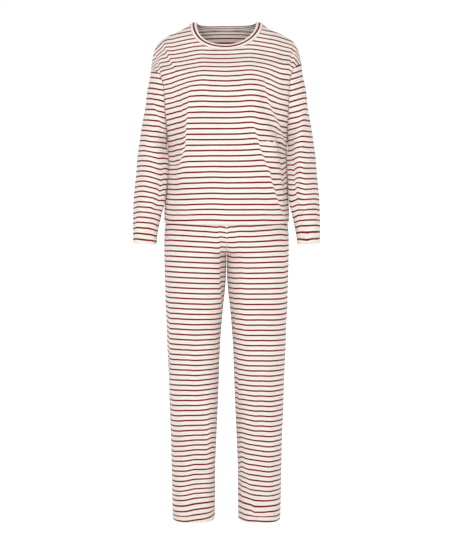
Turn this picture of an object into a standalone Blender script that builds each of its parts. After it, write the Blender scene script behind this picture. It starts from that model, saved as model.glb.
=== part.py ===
"""A pyjama set as it hangs when it is filled out: a boxy long-sleeved top with dropped shoulders,
over straight-legged trousers with an elastic waist.

Every piece that is cut and sewn on is one closed cloth wall: the top's front, back, neckband and
two sleeves, and the trousers' four leg panels and waistband. Lengths are in millimetres here and
become metres when a mesh is made. X runs across the garment, -Y is the front, +Z is up, and the
origin is midway between the two points where the shoulder seams meet the neckband.
"""

import math

import bpy
import numpy as np

MM = 0.001

CLOTH = 1.5  # thickness of one layer of the jersey
HEM_CLOTH = 2.6  # where a hem is turned up, on the inside
BAND_CLOTH = 2.0  # the neckband is a folded strip
SEAM_GAP = 0.3
ARMHOLE_GAP = 0.8
UNDERARM_GAP = 0.7  # how far the sleeve is kept off the side at the top of the underarm
LEFT, RIGHT = -1, 1  # as seen from the front
FRONT, BACK = -1, 1  # the sign of Y

# The top
HEM_HEIGHT = -569.0
HEM_TURN = 20.0
UNDERARM_HEIGHT = -340.0
SHOULDER_TIP_HEIGHT = {LEFT: -130.0, RIGHT: -114.0}
NECK_HALF_WIDTH = 104.0
NECK_DROP = {FRONT: 77.0, BACK: 16.0}
NECK_SQUARENESS = {LEFT: 2.2, RIGHT: 1.85}
NECK_CROWDING = 1.3  # its columns stand closer together near the shoulder seams
TRUNK_SQUARENESS = 2.5
SEAM_FLATNESS = 0.75  # how much flatter the panel runs into the armhole than into the side seam

# The neckband stands on the neckline and leans towards the neck
BAND_TAPER = {"across": 0.82, FRONT: 0.86, BACK: 0.87}
BAND_RISE = {"shoulder": 5.5, FRONT: 15.0, BACK: 15.0}
BAND_CROWN = 1.2
BAND_GAP = 0.6

# The sleeves
CUFF_HEIGHT = -630.0
CUFF_TILT = 2.0
CUFF_TURN = 20.0
SLEEVE_RADIUS = 50.0  # for the width of its folds
SLEEVE_SETTLE = 0.35  # the share of the sleeve over which its lines even out around the arm

# The trousers
WAIST_SEAM_HEIGHT = -385.0
WAIST_HEIGHT = -350.0
CROTCH_HEIGHT = -660.0
LEG_HEM_HEIGHT = -1443.0
LEG_HEM_TURN = 18.0
LEG_ROUNDNESS = 0.88  # 1 is an ellipse, and less is squarer
SEAT_FOLDS_START = -565.0
SEAT_BLEND = 95.0  # the height over which two round legs become one seat

# How finely each piece is divided
NECK_STEPS = 9
SHOULDER_STEPS = 5
SIDE_STEPS = 9
FAN_OUT = 6  # how soon below the neck and shoulders the columns of a trunk panel spread
ARMHOLE_STEPS = 11
SLEEVE_STEPS = 17
LEG_AROUND = 10


def columns(names, *rows):
    """A short table as named columns of numbers."""
    return dict(zip(names.split(), np.array(rows, float).T))


# The shoulder line, seen from the front
SHOULDER = columns(
    "height half_width",
    (-160, 223), (-136, 220), (-114, 216.5), (-100, 213.5), (-85, 210), (-74, 206.5), (-62, 200.5),
    (-51, 191.5), (-40, 178), (-28, 157), (-17, 133.5), (-6, 114.5), (0, 104),
)  # fmt: skip

# The side seam below the underarm. The body stands a little to the right of the neck's middle.
SIDE = columns(
    "height left right",
    (-574, 180, 181), (-539, 181, 182), (-516, 179, 181), (-470, 174.5, 179), (-424, 171.5, 177),
    (-377, 169.5, 175), (-340, 170, 175.5),
)  # fmt: skip

# How far the trunk's middle stands out in front and behind
TRUNK = columns(
    "height front back",
    (-583, 127, 116), (-500, 126, 106), (-400, 129, 98), (-300, 132, 102), (-230, 132, 107),
    (-190, 129, 106), (-155, 119, 102), (-125, 103, 96), (-87, 75.5, 86), (-45, 59, 76), (0, 48, 62),
)  # fmt: skip

# The sleeve as a tube of level ovals
SLEEVE = columns(
    "height outer inner_left inner_right middle front_to_back",
    (-640, 269, 203.5, 206, -21, 32.5), (-608, 270.5, 200, 202, -19, 36), (-585, 271, 196.5, 197.5, -17, 40),
    (-562, 270.5, 191, 192.5, -15, 44), (-539, 270, 186, 187.5, -12, 47), (-516, 269.5, 181.5, 183.5, -10, 50),
    (-470, 266, 177, 181, -6, 55), (-424, 261, 174, 179, -2, 59), (-377, 257, 171.5, 177, 0, 62),
    (-340, 252.5, 170, 175.5, 0, 64), (-280, 243.5, 162, 166, 0, 63), (-220, 232.5, 152, 156, 0, 61),
    (-174, 225.5, 147, 150, 0, 58), (-136, 220, 143, 146, 0, 55), (-114, 217, 141, 144, 0, 53),
    (-80, 210, 140, 143, 0, 50),
)  # fmt: skip

# The armhole seam: how far round the sleeve it has come, for each share of its way down
ARMHOLE = columns(
    "way round",
    (0, 0), (12, 36), (24, 62), (38, 82), (58, 99), (85, 114), (110, 133), (140, 158), (180, 180),
)  # fmt: skip

# One leg with its half of the seat, as level ovals. Above the crotch the inner side would reach
# past the middle, and the centre seam cuts it there.
LEG = columns(
    "height centre outer inner front back",
    (-1450, 97, 159.5, 34.5, 68, 70), (-1390, 97, 160.5, 33.5, 68, 70), (-1301, 97, 162, 33, 70, 72),
    (-1211, 96, 163.5, 30, 73, 76), (-1121, 96, 167, 26, 77, 82), (-1032, 95, 169, 22.5, 82, 88),
    (-943, 95, 173, 19.5, 87, 93), (-855, 94, 175.5, 13.5, 92, 98), (-811, 93, 178, 9.5, 94, 101),
    (-767, 93, 178.5, 4.5, 96, 104), (-726, 92, 180, 1.8, 99, 107), (-690, 91, 180.5, 1, 101, 109),
    (-660, 90, 181, 1, 104, 111), (-650, 89, 181, -20, 105, 111.5), (-633, 87, 181, -58, 107, 112),
    (-605, 82, 180.5, -130, 111, 111), (-588, 79, 179.5, -165, 114, 109),
    (-569, 76, 176.6, -200, 116, 107), (-535, 68, 174, -240, 115, 100),
    (-490, 58, 162, -260, 109, 91), (-445, 46, 150, -260, 101, 85), (-385, 36, 136, -260, 94, 80),
    (-350, 34, 131, -260, 91, 77),
)  # fmt: skip

# The largest folds, each from one end to the other as seen from the front: how wide it is to
# either side and how far it stands out, or in where it is negative
FOLD = "from_x from_height to_x to_height width_left width_right lift"
TRUNK_FOLDS = {
    FRONT: columns(
        FOLD,
        (-98, -205, -128, -430, 34, 60, 5),
        (-140, -240, -150, -470, 26, 26, -5),
        (84, -200, 140, -365, 40, 16, 6),
        (140, -365, 160, -540, 44, 9, 6),
        (104, -230, 150, -350, 14, 26, -7),
        (150, -350, 170, -490, 9, 16, -4),
        (-95, -60, -45, -135, 30, 30, 2),
        (-30, -569, -10, -500, 40, 40, -2),
        (60, -569, 70, -520, 36, 36, 2),
    ),
    BACK: columns(
        FOLD,
        (-96, -210, -120, -500, 30, 40, 5),
        (100, -230, 128, -480, 40, 28, 5),
        (-140, -300, -146, -500, 20, 20, -4),
        (142, -310, 148, -500, 20, 20, -4),
        (-20, -430, -34, -560, 34, 34, -3),
        (30, -400, 44, -560, 34, 34, 3),
        (0, -70, 0, -160, 90, 90, 3),
    ),
}
LEG_FOLDS = {
    FRONT: columns(
        FOLD,
        (-26, -500, -24, -800, 44, 12, 5),
        (52, -590, 50, -760, 24, 20, 3),
        (-128, -700, -120, -1200, 30, 30, 3),
        (-92, -820, -80, -1240, 34, 24, -3),
        (-46, -1080, -52, -1443, 16, 26, 5),
        (-96, -1150, -100, -1443, 22, 22, -4),
        (-138, -1200, -134, -1443, 18, 20, 3),
        (40, -820, 52, -1100, 16, 26, 4),
        (96, -760, 92, -1180, 34, 34, 2),
        (48, -1190, 54, -1443, 12, 24, 5),
        (96, -1220, 92, -1443, 24, 20, -4),
        (136, -1150, 138, -1443, 24, 20, 3),
    ),
    BACK: columns(
        FOLD,
        (-120, -700, -84, -900, 26, 30, 4),
        (118, -690, 88, -880, 30, 26, 4),
        (-60, -720, -70, -1100, 26, 26, -4),
        (58, -730, 74, -1060, 26, 26, -4),
        (-110, -1000, -96, -1443, 30, 26, 4),
        (112, -980, 92, -1443, 26, 30, 4),
        (-136, -1180, -132, -1443, 20, 20, -3),
        (134, -1160, 130, -1443, 20, 20, -3),
    ),
}

# Sleeve folds, placed by how far round the arm they lie: 0 is outside and 90 in front
SLEEVE_FOLDS = columns(
    "from_turn from_height to_turn to_height width lift",
    (20, -190, 120, -330, 26, 4),
    (60, -230, 150, -350, 20, -5),
    (80, -345, 70, -560, 26, 3.5),
    (130, -380, 120, -600, 24, -4),
    (250, -230, 215, -360, 26, -5),
    (290, -330, 280, -560, 30, 3.5),
)  # fmt: skip


def glide(table, column, at):
    """The smooth curve through one column of a table, read at values of its first column. It never
    swings past the values that it runs between."""
    keys = table[next(iter(table))]
    order = np.argsort(keys)
    keys, values = keys[order], table[column][order]
    steps = np.diff(values) / np.diff(keys)
    before, after = steps[:-1], steps[1:]
    same_way = before * after > 0
    both = np.where(same_way, before + after, 1)
    slopes = np.concatenate([steps[:1], np.where(same_way, 2 * before * after / both, 0), steps[-1:]])
    at = np.clip(np.asarray(at, float), keys[0], keys[-1])
    k = np.clip(np.searchsorted(keys, at) - 1, 0, len(keys) - 2)
    span = keys[k + 1] - keys[k]
    u = (at - keys[k]) / span
    rise = values[k + 1] - values[k]
    bend = (1 - u) * (slopes[k] * span - rise) + u * (rise - slopes[k + 1] * span)
    return values[k] + u * rise + u * (1 - u) * bend


def unit(vectors):
    length = np.linalg.norm(vectors, axis=-1, keepdims=True)
    return vectors / np.maximum(length, 1e-9)


def spread_evenly(points, count):
    """count + 1 points at even distances along a line of points."""
    along = np.concatenate([[0], np.cumsum(np.linalg.norm(np.diff(points, axis=0), axis=1))])
    wanted = np.linspace(0, along[-1], count + 1)
    return np.stack([np.interp(wanted, along, axis) for axis in points.T], axis=1)


def smooth_step(share):
    share = np.clip(share, 0, 1)
    return share * share * (3 - 2 * share)


def fold_share(folds, i, height):
    """How far along a fold each height is, and how far past its ends."""
    top, bottom = folds["from_height"][i], folds["to_height"][i]
    past = np.maximum(0, np.maximum(height - max(top, bottom), min(top, bottom) - height))
    return np.clip((height - top) / (bottom - top), 0, 1), past


def fold_lift(folds, x, height):
    """How far the folds in a table lift the cloth at each point."""
    total = np.zeros(np.broadcast(x, height).shape)
    for i, lift in enumerate(folds["lift"]):
        share, past = fold_share(folds, i, height)
        off = x - (folds["from_x"][i] + (folds["to_x"][i] - folds["from_x"][i]) * share)
        width = np.where(off < 0, folds["width_left"][i], folds["width_right"][i])
        total += lift * np.exp(-((off / width) ** 2) - (past / 45) ** 2)
    return total


def sleeve_fold_lift(turn, height):
    """The same for folds placed by how far round the arm they lie."""
    total = np.zeros(np.broadcast(turn, height).shape)
    for i, lift in enumerate(SLEEVE_FOLDS["lift"]):
        share, past = fold_share(SLEEVE_FOLDS, i, height)
        start, end = SLEEVE_FOLDS["from_turn"][i], SLEEVE_FOLDS["to_turn"][i]
        off = np.radians(turn - (start + (end - start) * share)) * SLEEVE_RADIUS
        total += lift * np.exp(-((off / SLEEVE_FOLDS["width"][i]) ** 2) - (past / 45) ** 2)
    return total


def grid_normals(grid, outward, wrap=False):
    """Unit normals of a grid of points, turned to the side where the outward points lie."""
    if wrap:
        along = np.roll(grid, -1, axis=1) - np.roll(grid, 1, axis=1)
    else:
        along = np.gradient(grid, axis=1)
    normals = unit(np.cross(along, np.gradient(grid, axis=0)))
    facing = np.sum(normals * outward, axis=-1)
    return normals * (1 if np.median(facing) > 0 else -1)


def share_seam(first, second, tuck=0.0):
    """Gives two normals that meet at a seam the direction midway between them. With a tuck it
    leans down, for the underarm, where the two face each other."""
    middle = unit(first + second - [0, 0, tuck])
    first[:] = middle
    second[:] = middle


def cloth(name, outer, normals, thickness, material, wrap=False):
    """One closed wall: the outer grid of points, the same grid moved in by the thickness, and rims
    along the open edges. The thickness is one number, or one for each row."""
    depth = np.broadcast_to(np.asarray(thickness, float).reshape(-1, 1, 1), outer.shape[:1] + (1, 1))
    inner = outer - normals * depth
    rows, cols = outer.shape[:2]
    points = np.concatenate([outer.reshape(-1, 3), inner.reshape(-1, 3)]) * MM
    inside = rows * cols
    last = cols if wrap else cols - 1

    def at(row, col):
        return row * cols + col % cols

    faces = []
    for row in range(rows - 1):
        for col in range(last):
            quad = [at(row, col), at(row, col + 1), at(row + 1, col + 1), at(row + 1, col)]
            faces.append(quad)
            faces.append([inside + corner for corner in reversed(quad)])
    edges = [(at(0, col + 1), at(0, col)) for col in range(last)]
    edges += [(at(rows - 1, col), at(rows - 1, col + 1)) for col in range(last)]
    if not wrap:
        edges += [(at(row, 0), at(row + 1, 0)) for row in range(rows - 1)]
        edges += [(at(row + 1, cols - 1), at(row, cols - 1)) for row in range(rows - 1)]
    faces += [[start, end, inside + end, inside + start] for start, end in edges]

    mesh = bpy.data.meshes.new(name)
    mesh.from_pydata([tuple(point) for point in points], [], faces)
    mesh.validate()
    mesh.shade_smooth()
    mesh.set_sharp_from_angle(angle=math.radians(50))
    mesh.materials.append(material)
    piece = bpy.data.objects.new(name, mesh)
    bpy.context.scene.collection.objects.link(piece)
    turn_out(mesh)
    return piece


def turn_out(mesh):
    """Reverses the faces if they point into the wall."""
    volume = 0.0
    for face in mesh.polygons:
        corners = [mesh.vertices[i].co for i in face.vertices]
        for second, third in zip(corners[1:], corners[2:]):
            volume += corners[0].dot(second.cross(third))
    if volume < 0:
        mesh.flip_normals()


# ---------------------------------------------------------------- the top


def armhole_way(height, side):
    """How far down the armhole a height is, in degrees from the shoulder tip to the underarm."""
    top, bottom = SHOULDER_TIP_HEIGHT[side], UNDERARM_HEIGHT
    share = (height - (top + bottom) / 2) / ((top - bottom) / 2)
    return np.degrees(np.arccos(np.clip(share, -1, 1)))


def armhole_height(way, side):
    top, bottom = SHOULDER_TIP_HEIGHT[side], UNDERARM_HEIGHT
    return (top + bottom) / 2 + (top - bottom) / 2 * np.cos(np.radians(way))


def sleeve_point(turn, height, side):
    """A point of the sleeve's tube, before its folds. turn is 0 outside and 90 in front."""
    inner = glide(SLEEVE, "inner_left" if side == LEFT else "inner_right", height)
    outer = glide(SLEEVE, "outer", height)
    angle = np.radians(turn)
    x = (outer + inner) / 2 + (outer - inner) / 2 * np.cos(angle)
    y = glide(SLEEVE, "middle", height) - glide(SLEEVE, "front_to_back", height) * np.sin(angle)
    return np.stack(np.broadcast_arrays(side * x, y, height), axis=-1)


def trunk_edge(height, side):
    """Where a trunk panel ends at each height: how far out, and how far from the side seam's plane.
    That is the shoulder line, then the armhole, then the side seam."""
    way = armhole_way(height, side)
    on_armhole = sleeve_point(glide(ARMHOLE, "round", way), height, side)
    above = height >= SHOULDER_TIP_HEIGHT[side]
    below = height <= UNDERARM_HEIGHT
    reach = np.where(above, glide(SHOULDER, "half_width", height), abs(on_armhole[..., 0]))
    reach = np.where(below, glide(SIDE, "left" if side == LEFT else "right", height), reach)
    depth = np.where(above | below, 0, np.maximum(0, -on_armhole[..., 1]))
    return reach, depth, np.where(above | below, 0, np.sin(np.radians(way)))


def trunk_depth(across, height, side, face):
    """How far the trunk panel stands out from the side seam's plane, before its folds."""
    reach, edge, in_armhole = trunk_edge(height, side)
    middle = glide(TRUNK, "front" if face == FRONT else "back", height)
    share = np.clip(abs(across) / reach, 0, 1) ** TRUNK_SQUARENESS
    power = 0.5 + 0.5 * SEAM_FLATNESS * in_armhole
    return edge + (middle - edge) * (1 - share) ** power


def trunk_normals(grid, side, face):
    """The way out of the cloth at each point of a trunk panel."""
    x, z = abs(grid[..., 0]) * 0.997, grid[..., 2]
    step = 0.6
    slope_x = trunk_depth(x + step, z, side, face) - trunk_depth(x - step, z, side, face)
    slope_z = trunk_depth(x, z + step, side, face) - trunk_depth(x, z - step, side, face)
    return unit(np.stack([-side * slope_x, np.full(x.shape, face * 2 * step), -slope_z], axis=-1))


def neckline(side, face, turn):
    """The neckline from its middle, turn 0, to the shoulder seam, turn 90, seen from the front."""
    angle = np.radians(turn)
    power = 2 / NECK_SQUARENESS[side]
    x = NECK_HALF_WIDTH * np.sin(angle) ** power
    z = -NECK_DROP[face] * np.cos(angle) ** power
    return np.stack([x, z], axis=-1)


def half_panel_plan(side, face):
    """One half of a trunk panel seen from the front, as rows from hem to top and columns from the
    middle to the side."""
    steps = NECK_STEPS + SHOULDER_STEPS
    lean = np.sin(np.radians(90) * np.linspace(0, 1, steps + 1))

    side_heights = HEM_HEIGHT + np.array([0, HEM_TURN])
    side_heights = np.append(
        side_heights, np.linspace(HEM_HEIGHT + HEM_TURN, UNDERARM_HEIGHT, SIDE_STEPS)[1:]
    )
    ways = np.linspace(180, 0, ARMHOLE_STEPS + 1)[1:]
    edge_heights = np.append(side_heights, armhole_height(ways, side))
    edge_reach, _, _ = trunk_edge(edge_heights, side)
    edge = np.stack([edge_reach, edge_heights], axis=-1)

    neck = neckline(side, face, 90 - 90 * np.linspace(1, 0, NECK_STEPS + 1) ** NECK_CROWDING)
    fine = np.linspace(0, SHOULDER_TIP_HEIGHT[side], 200)
    line = np.stack([glide(SHOULDER, "half_width", fine), fine], axis=-1)
    top = np.concatenate([neck, spread_evenly(line, SHOULDER_STEPS)[1:]])

    # A column keeps near its place on the neckline or shoulder until well below it, and the
    # outermost columns also follow the armhole.
    rise = ((edge_heights - HEM_HEIGHT) / (edge_heights[-1] - HEM_HEIGHT))[:, None]
    settle = rise**FAN_OUT
    across = edge[0, 0] * lean + (top[:, 0] - edge[0, 0] * lean) * settle
    near_edge = lean**4 + ((top[:, 0] / top[-1, 0]) ** 4 - lean**4) * rise**8
    across += (edge[:, :1] - across[:, -1:]) * near_edge
    height = HEM_HEIGHT + rise * (top[:, 1] - HEM_HEIGHT)
    return np.stack([across, height], axis=-1)


def trunk_half(side, face):
    """One half of a trunk panel in space, with its folds, from the middle to the side, and its
    normals."""
    plan = half_panel_plan(side, face)
    x, z = side * plan[..., 0], plan[..., 1]
    depth = trunk_depth(x, z, side, face)
    grid = np.stack([x, face * depth, z], axis=-1)
    near_edge = np.linspace(1, 0, grid.shape[1])[None, :] * 4
    near_top = np.linspace(1, 0, grid.shape[0])[:, None] * 6
    fade = smooth_step(near_edge) * smooth_step(near_top)
    lift = fold_lift(TRUNK_FOLDS[face], x, z) * fade
    normals = trunk_normals(grid, side, face)
    return grid + normals * lift[..., None], normals


def trunk_panel(face):
    """A whole panel, from the left edge to the right, and its normals."""
    left, left_normals = trunk_half(LEFT, face)
    right, right_normals = trunk_half(RIGHT, face)
    middle = (left[:, :1] + right[:, :1]) / 2
    grid = np.concatenate([left[:, :0:-1], middle, right[:, 1:]], axis=1)
    normals = np.concatenate([left_normals[:, :0:-1], right_normals], axis=1)
    # The seam edges stand half a seam gap off the plane that both panels meet in.
    shoulder = np.r_[: SHOULDER_STEPS + 1, -SHOULDER_STEPS - 1 : 0]
    below = grid[:, 0, 2] <= UNDERARM_HEIGHT + 1e-6
    grid[below, 0, 1] = grid[below, -1, 1] = face * SEAM_GAP / 2
    grid[-1, shoulder, 1] = face * SEAM_GAP / 2
    return grid, normals


def sleeve(side):
    """A sleeve from the armhole to the cuff, its lines running round from the outside through the
    front, the underarm and the back, and its normals."""
    way = np.linspace(0, 360, 2 * ARMHOLE_STEPS + 1)[:-1]
    folded = np.where(way <= 180, way, 360 - way)
    start_turn = glide(ARMHOLE, "round", folded)
    start_turn = np.where(way <= 180, start_turn, 360 - start_turn)
    start = armhole_height(folded, side)
    end = CUFF_HEIGHT + CUFF_TILT * np.cos(np.radians(way))
    share = np.linspace(0, 1, SLEEVE_STEPS - 1)[:, None] ** 1.1
    height = start + (end + CUFF_TURN - start) * share
    height = np.concatenate([height, end[None, :]])
    settled = smooth_step(np.append(share, 1)[:, None] / SLEEVE_SETTLE)
    turn = start_turn + (way - start_turn) * settled
    grid = sleeve_point(turn, height, side)

    centre = grid.mean(axis=1, keepdims=True)
    outward = unit((grid - centre) * [1, 1, 0])
    lift = sleeve_fold_lift(turn, height)
    fade = smooth_step(np.linspace(0, 1, grid.shape[0])[:, None] * 5)
    inner_side = np.exp(-(((turn - 180) / 45) ** 2))
    grid = grid + outward * (lift * fade * (1 - inner_side))[..., None]

    normals = grid_normals(grid, outward, wrap=True)
    round_seam = unit(np.roll(grid[0], -1, axis=0) - np.roll(grid[0], 1, axis=0))
    down = grid[1] - grid[0]
    down = unit(down - round_seam * np.sum(down * round_seam, axis=1, keepdims=True))
    under = smooth_step((folded - 90) / 90)
    grid[0] += down * ARMHOLE_GAP
    grid[0, :, 0] += side * UNDERARM_GAP * under
    grid[1, :, 0] += side * UNDERARM_GAP * under
    return grid, normals


def neckband(front, back):
    """The band from the neckline inwards, as three rings, and its normals. front and back are the
    top rows of the two panels."""
    neck = slice(SHOULDER_STEPS, SHOULDER_STEPS + 2 * NECK_STEPS + 1)
    ring = np.concatenate([front[neck], back[neck][-2:0:-1]])
    ring[0, 1] = ring[2 * NECK_STEPS, 1] = 0
    face = np.where(ring[:, 1] <= 0, FRONT, BACK)
    taper = np.where(face == FRONT, BAND_TAPER[FRONT], BAND_TAPER[BACK])
    middle_rise = np.where(face == FRONT, BAND_RISE[FRONT], BAND_RISE[BACK])
    toward_middle = 1 - (abs(ring[:, 0]) / NECK_HALF_WIDTH) ** 2
    rise = BAND_RISE["shoulder"] + (middle_rise - BAND_RISE["shoulder"]) * toward_middle
    top = np.stack([ring[:, 0] * BAND_TAPER["across"], ring[:, 1] * taper, ring[:, 2] + rise], axis=-1)
    lowest = ring + unit(top - ring) * BAND_GAP
    grid = np.stack([lowest, (lowest + top) / 2, top])
    normals = grid_normals(grid, unit((ring - ring.mean(axis=0)) * [1, 1, 0] + [0, 0, 40]), wrap=True)
    grid[1] += normals[1] * BAND_CROWN
    return grid, normals


def row_thickness(heights, free_edge, turn_up):
    """Hem thickness for the rows within the turned-up hem, and one layer above it."""
    return np.where(heights < free_edge + turn_up * 0.5, HEM_CLOTH, CLOTH)


def make_top(material, rib):
    front, front_normals = trunk_panel(FRONT)
    back, back_normals = trunk_panel(BACK)
    steps = NECK_STEPS + SHOULDER_STEPS
    side_rows = SIDE_STEPS + 1
    for edge in (0, -1):
        share_seam(front_normals[:side_rows, edge], back_normals[:side_rows, edge])
    for part in (slice(0, SHOULDER_STEPS + 1), slice(2 * steps - SHOULDER_STEPS, None)):
        share_seam(front_normals[-1, part], back_normals[-1, part])

    grid, normals = neckband(front[-1].copy(), back[-1].copy())
    for i in range(2 * NECK_STEPS + 1):
        column = SHOULDER_STEPS + i
        share_seam(normals[0, i], front_normals[-1, column])
        if i:
            share_seam(normals[0, -i], back_normals[-1, column])
    normals[0, 0] = front_normals[-1, SHOULDER_STEPS] = back_normals[-1, SHOULDER_STEPS]
    normals[0, 2 * NECK_STEPS] = front_normals[-1, -SHOULDER_STEPS - 1]
    back_normals[-1, -SHOULDER_STEPS - 1] = front_normals[-1, -SHOULDER_STEPS - 1]
    cloth("neckband", grid, normals, [CLOTH, BAND_CLOTH, BAND_CLOTH], rib, wrap=True)

    for side, edge, name in ((LEFT, 0, "sleeve_left"), (RIGHT, -1, "sleeve_right")):
        grid, normals = sleeve(side)
        # The armhole runs up the front panel from the underarm, and down the back panel.
        for i in range(ARMHOLE_STEPS + 1):
            row = side_rows - 1 + ARMHOLE_STEPS - i
            tuck = smooth_step((i / ARMHOLE_STEPS - 0.5) * 2)
            share_seam(normals[0, i], front_normals[row, edge], tuck)
            if i < ARMHOLE_STEPS:
                share_seam(normals[0, -i], back_normals[row, edge], tuck)
        back_normals[side_rows - 1, edge] = front_normals[side_rows - 1, edge]
        thickness = row_thickness(grid[:, 0, 2], CUFF_HEIGHT, CUFF_TURN)
        cloth(name, grid, normals, thickness, material, wrap=True)

    for name, grid, normals in (("top_front", front, front_normals), ("top_back", back, back_normals)):
        thickness = row_thickness(grid[:, 0, 2], HEM_HEIGHT, HEM_TURN)
        cloth(name, grid, normals, thickness, material)


# ---------------------------------------------------------------- the trousers


def leg_point(turn, height, side, face):
    """A point of one leg or of its half of the seat. turn is 0 at the side seam and 180 at the
    inseam, round the front or the back."""
    angle = np.radians(turn)
    centre, outer = glide(LEG, "centre", height), glide(LEG, "outer", height)
    inner = glide(LEG, "inner", height)
    depth = glide(LEG, "front" if face == FRONT else "back", height)
    cosine = np.sign(np.cos(angle)) * abs(np.cos(angle)) ** LEG_ROUNDNESS
    reach = np.where(cosine > 0, outer - centre, centre - inner)
    middle = np.sin(angle)
    x = centre + reach * cosine
    seat = depth * np.sqrt(1 - np.clip(abs(x) / outer, 0, 1) ** TRUNK_SQUARENESS)
    oval = depth * middle**LEG_ROUNDNESS
    in_seat = smooth_step((height - CROTCH_HEIGHT) / SEAT_BLEND)
    lift = fold_lift(LEG_FOLDS[face], side * x, height)
    lift = lift * smooth_step((SEAT_FOLDS_START - height) / 60) * middle
    y = face * (oval + (seat - oval) * in_seat + lift)
    return np.stack(np.broadcast_arrays(side * x, y, height), axis=-1)


def inner_turn(height):
    """How far round the leg a panel goes: to the inseam, or above the crotch to the centre seam."""
    centre = glide(LEG, "centre", height) - SEAM_GAP / 2
    share = np.clip(centre / (glide(LEG, "centre", height) - glide(LEG, "inner", height)), 0, 1)
    turn = 180 - np.degrees(np.arccos(share ** (1 / LEG_ROUNDNESS)))
    return np.where(height > CROTCH_HEIGHT, turn, 180.0)


def leg_heights():
    """The rows of a leg panel, from the waist seam to the hem, closest together at the crotch."""
    seat = np.linspace(WAIST_SEAM_HEIGHT - SEAM_GAP, CROTCH_HEIGHT + 68, 6)
    crotch = CROTCH_HEIGHT + np.array([42, 24, 12, 5, 0, -12, -33.0])
    leg = np.linspace(CROTCH_HEIGHT - 73, LEG_HEM_HEIGHT + LEG_HEM_TURN, 13)
    return np.concatenate([seat, crotch, leg, [LEG_HEM_HEIGHT]])


def leg_panel(side, face):
    """One leg panel from its side seam to its inseam and centre seam, and its normals."""
    height = leg_heights()[:, None]
    turn = inner_turn(height) * np.linspace(0, 1, LEG_AROUND + 1)[None, :]
    grid = leg_point(turn, height, side, face)
    centre = np.stack(
        np.broadcast_arrays(side * glide(LEG, "centre", height), 0, height), axis=-1
    )
    normals = grid_normals(grid, grid - centre)
    grid[:, 0, 1] = face * SEAM_GAP / 2
    legs_apart = height[:, 0] <= CROTCH_HEIGHT
    grid[legs_apart, -1, 1] = face * SEAM_GAP / 2
    above = ~legs_apart
    grid[above, -1, 0] = side * SEAM_GAP / 2
    return grid, normals


def waistband():
    """The waistband as three rings above the waist seam, and its normals."""
    heights = np.linspace(WAIST_SEAM_HEIGHT, WAIST_HEIGHT, 3)[:, None]
    parts = []
    for side, face in ((RIGHT, FRONT), (LEFT, FRONT), (LEFT, BACK), (RIGHT, BACK)):
        turn = inner_turn(heights) * np.linspace(0, 1, LEG_AROUND + 1)[None, :]
        part = leg_point(turn, heights, side, face)
        towards_middle = side != face
        parts.append(part[:, :-1] if towards_middle else part[:, :0:-1])
    grid = np.concatenate(parts, axis=1)
    return grid, grid_normals(grid, grid * [1, 1, 0], wrap=True)


def make_trousers(material, band):
    panels = {(side, face): leg_panel(side, face) for side in (LEFT, RIGHT) for face in (FRONT, BACK)}
    above = leg_heights() > CROTCH_HEIGHT
    for side in (LEFT, RIGHT):
        front, back = panels[side, FRONT][1], panels[side, BACK][1]
        share_seam(front[:, 0], back[:, 0])
        middle = unit(front[~above, -1] + back[~above, -1])
        front[~above, -1] = back[~above, -1] = middle
    for face in (FRONT, BACK):
        left, right = panels[LEFT, face][1], panels[RIGHT, face][1]
        middle = unit(left[above, -1] + right[above, -1])
        left[above, -1] = right[above, -1] = middle
    thickness = row_thickness(leg_heights(), LEG_HEM_HEIGHT, LEG_HEM_TURN)
    for (side, face), (grid, normals) in panels.items():
        name = ("trouser_front" if face == FRONT else "trouser_back") + ("_left" if side == LEFT else "_right")
        cloth(name, grid, normals, thickness, material)
    grid, normals = waistband()
    cloth("waistband", grid, normals, BAND_CLOTH, band, wrap=True)


def jersey(name, colour, roughness):
    material = bpy.data.materials.new(name)
    material.use_nodes = True
    shader = material.node_tree.nodes["Principled BSDF"]
    shader.inputs["Base Color"].default_value = (*colour, 1)
    shader.inputs["Roughness"].default_value = roughness
    shader.inputs["Metallic"].default_value = 0
    return material


def main():
    for obj in list(bpy.data.objects):
        bpy.data.objects.remove(obj)
    striped = jersey("striped_jersey", (0.82, 0.74, 0.68), 0.9)
    rib = jersey("neckband_jersey", (0.84, 0.76, 0.70), 0.9)
    make_top(striped, rib)
    make_trousers(striped, rib)


main()
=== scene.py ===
# %% [markdown]
# # A striped pyjama set, filled out as if it were worn
# A boxy long-sleeved top with dropped shoulders hangs over straight trousers with an elastic waist.
# Everything is one cream cotton jersey with a narrow dark red cross stripe. The set keeps the shape
# of a wearer who isn't there, so the neck, the hem, the cuffs and the leg ends are open.
#
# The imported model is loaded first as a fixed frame: plain cloth walls of the right size. This
# script lays a finer cloth on the same form, with its creases, stripes, hems and stitches, and
# hides the plain walls. The tables below hold millimetres. X runs across the garment, -Y is the
# front and +Z is up, and the origin is midway between the two ends of the neckband.

# %% Load the frame and keep its box
import math

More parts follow.
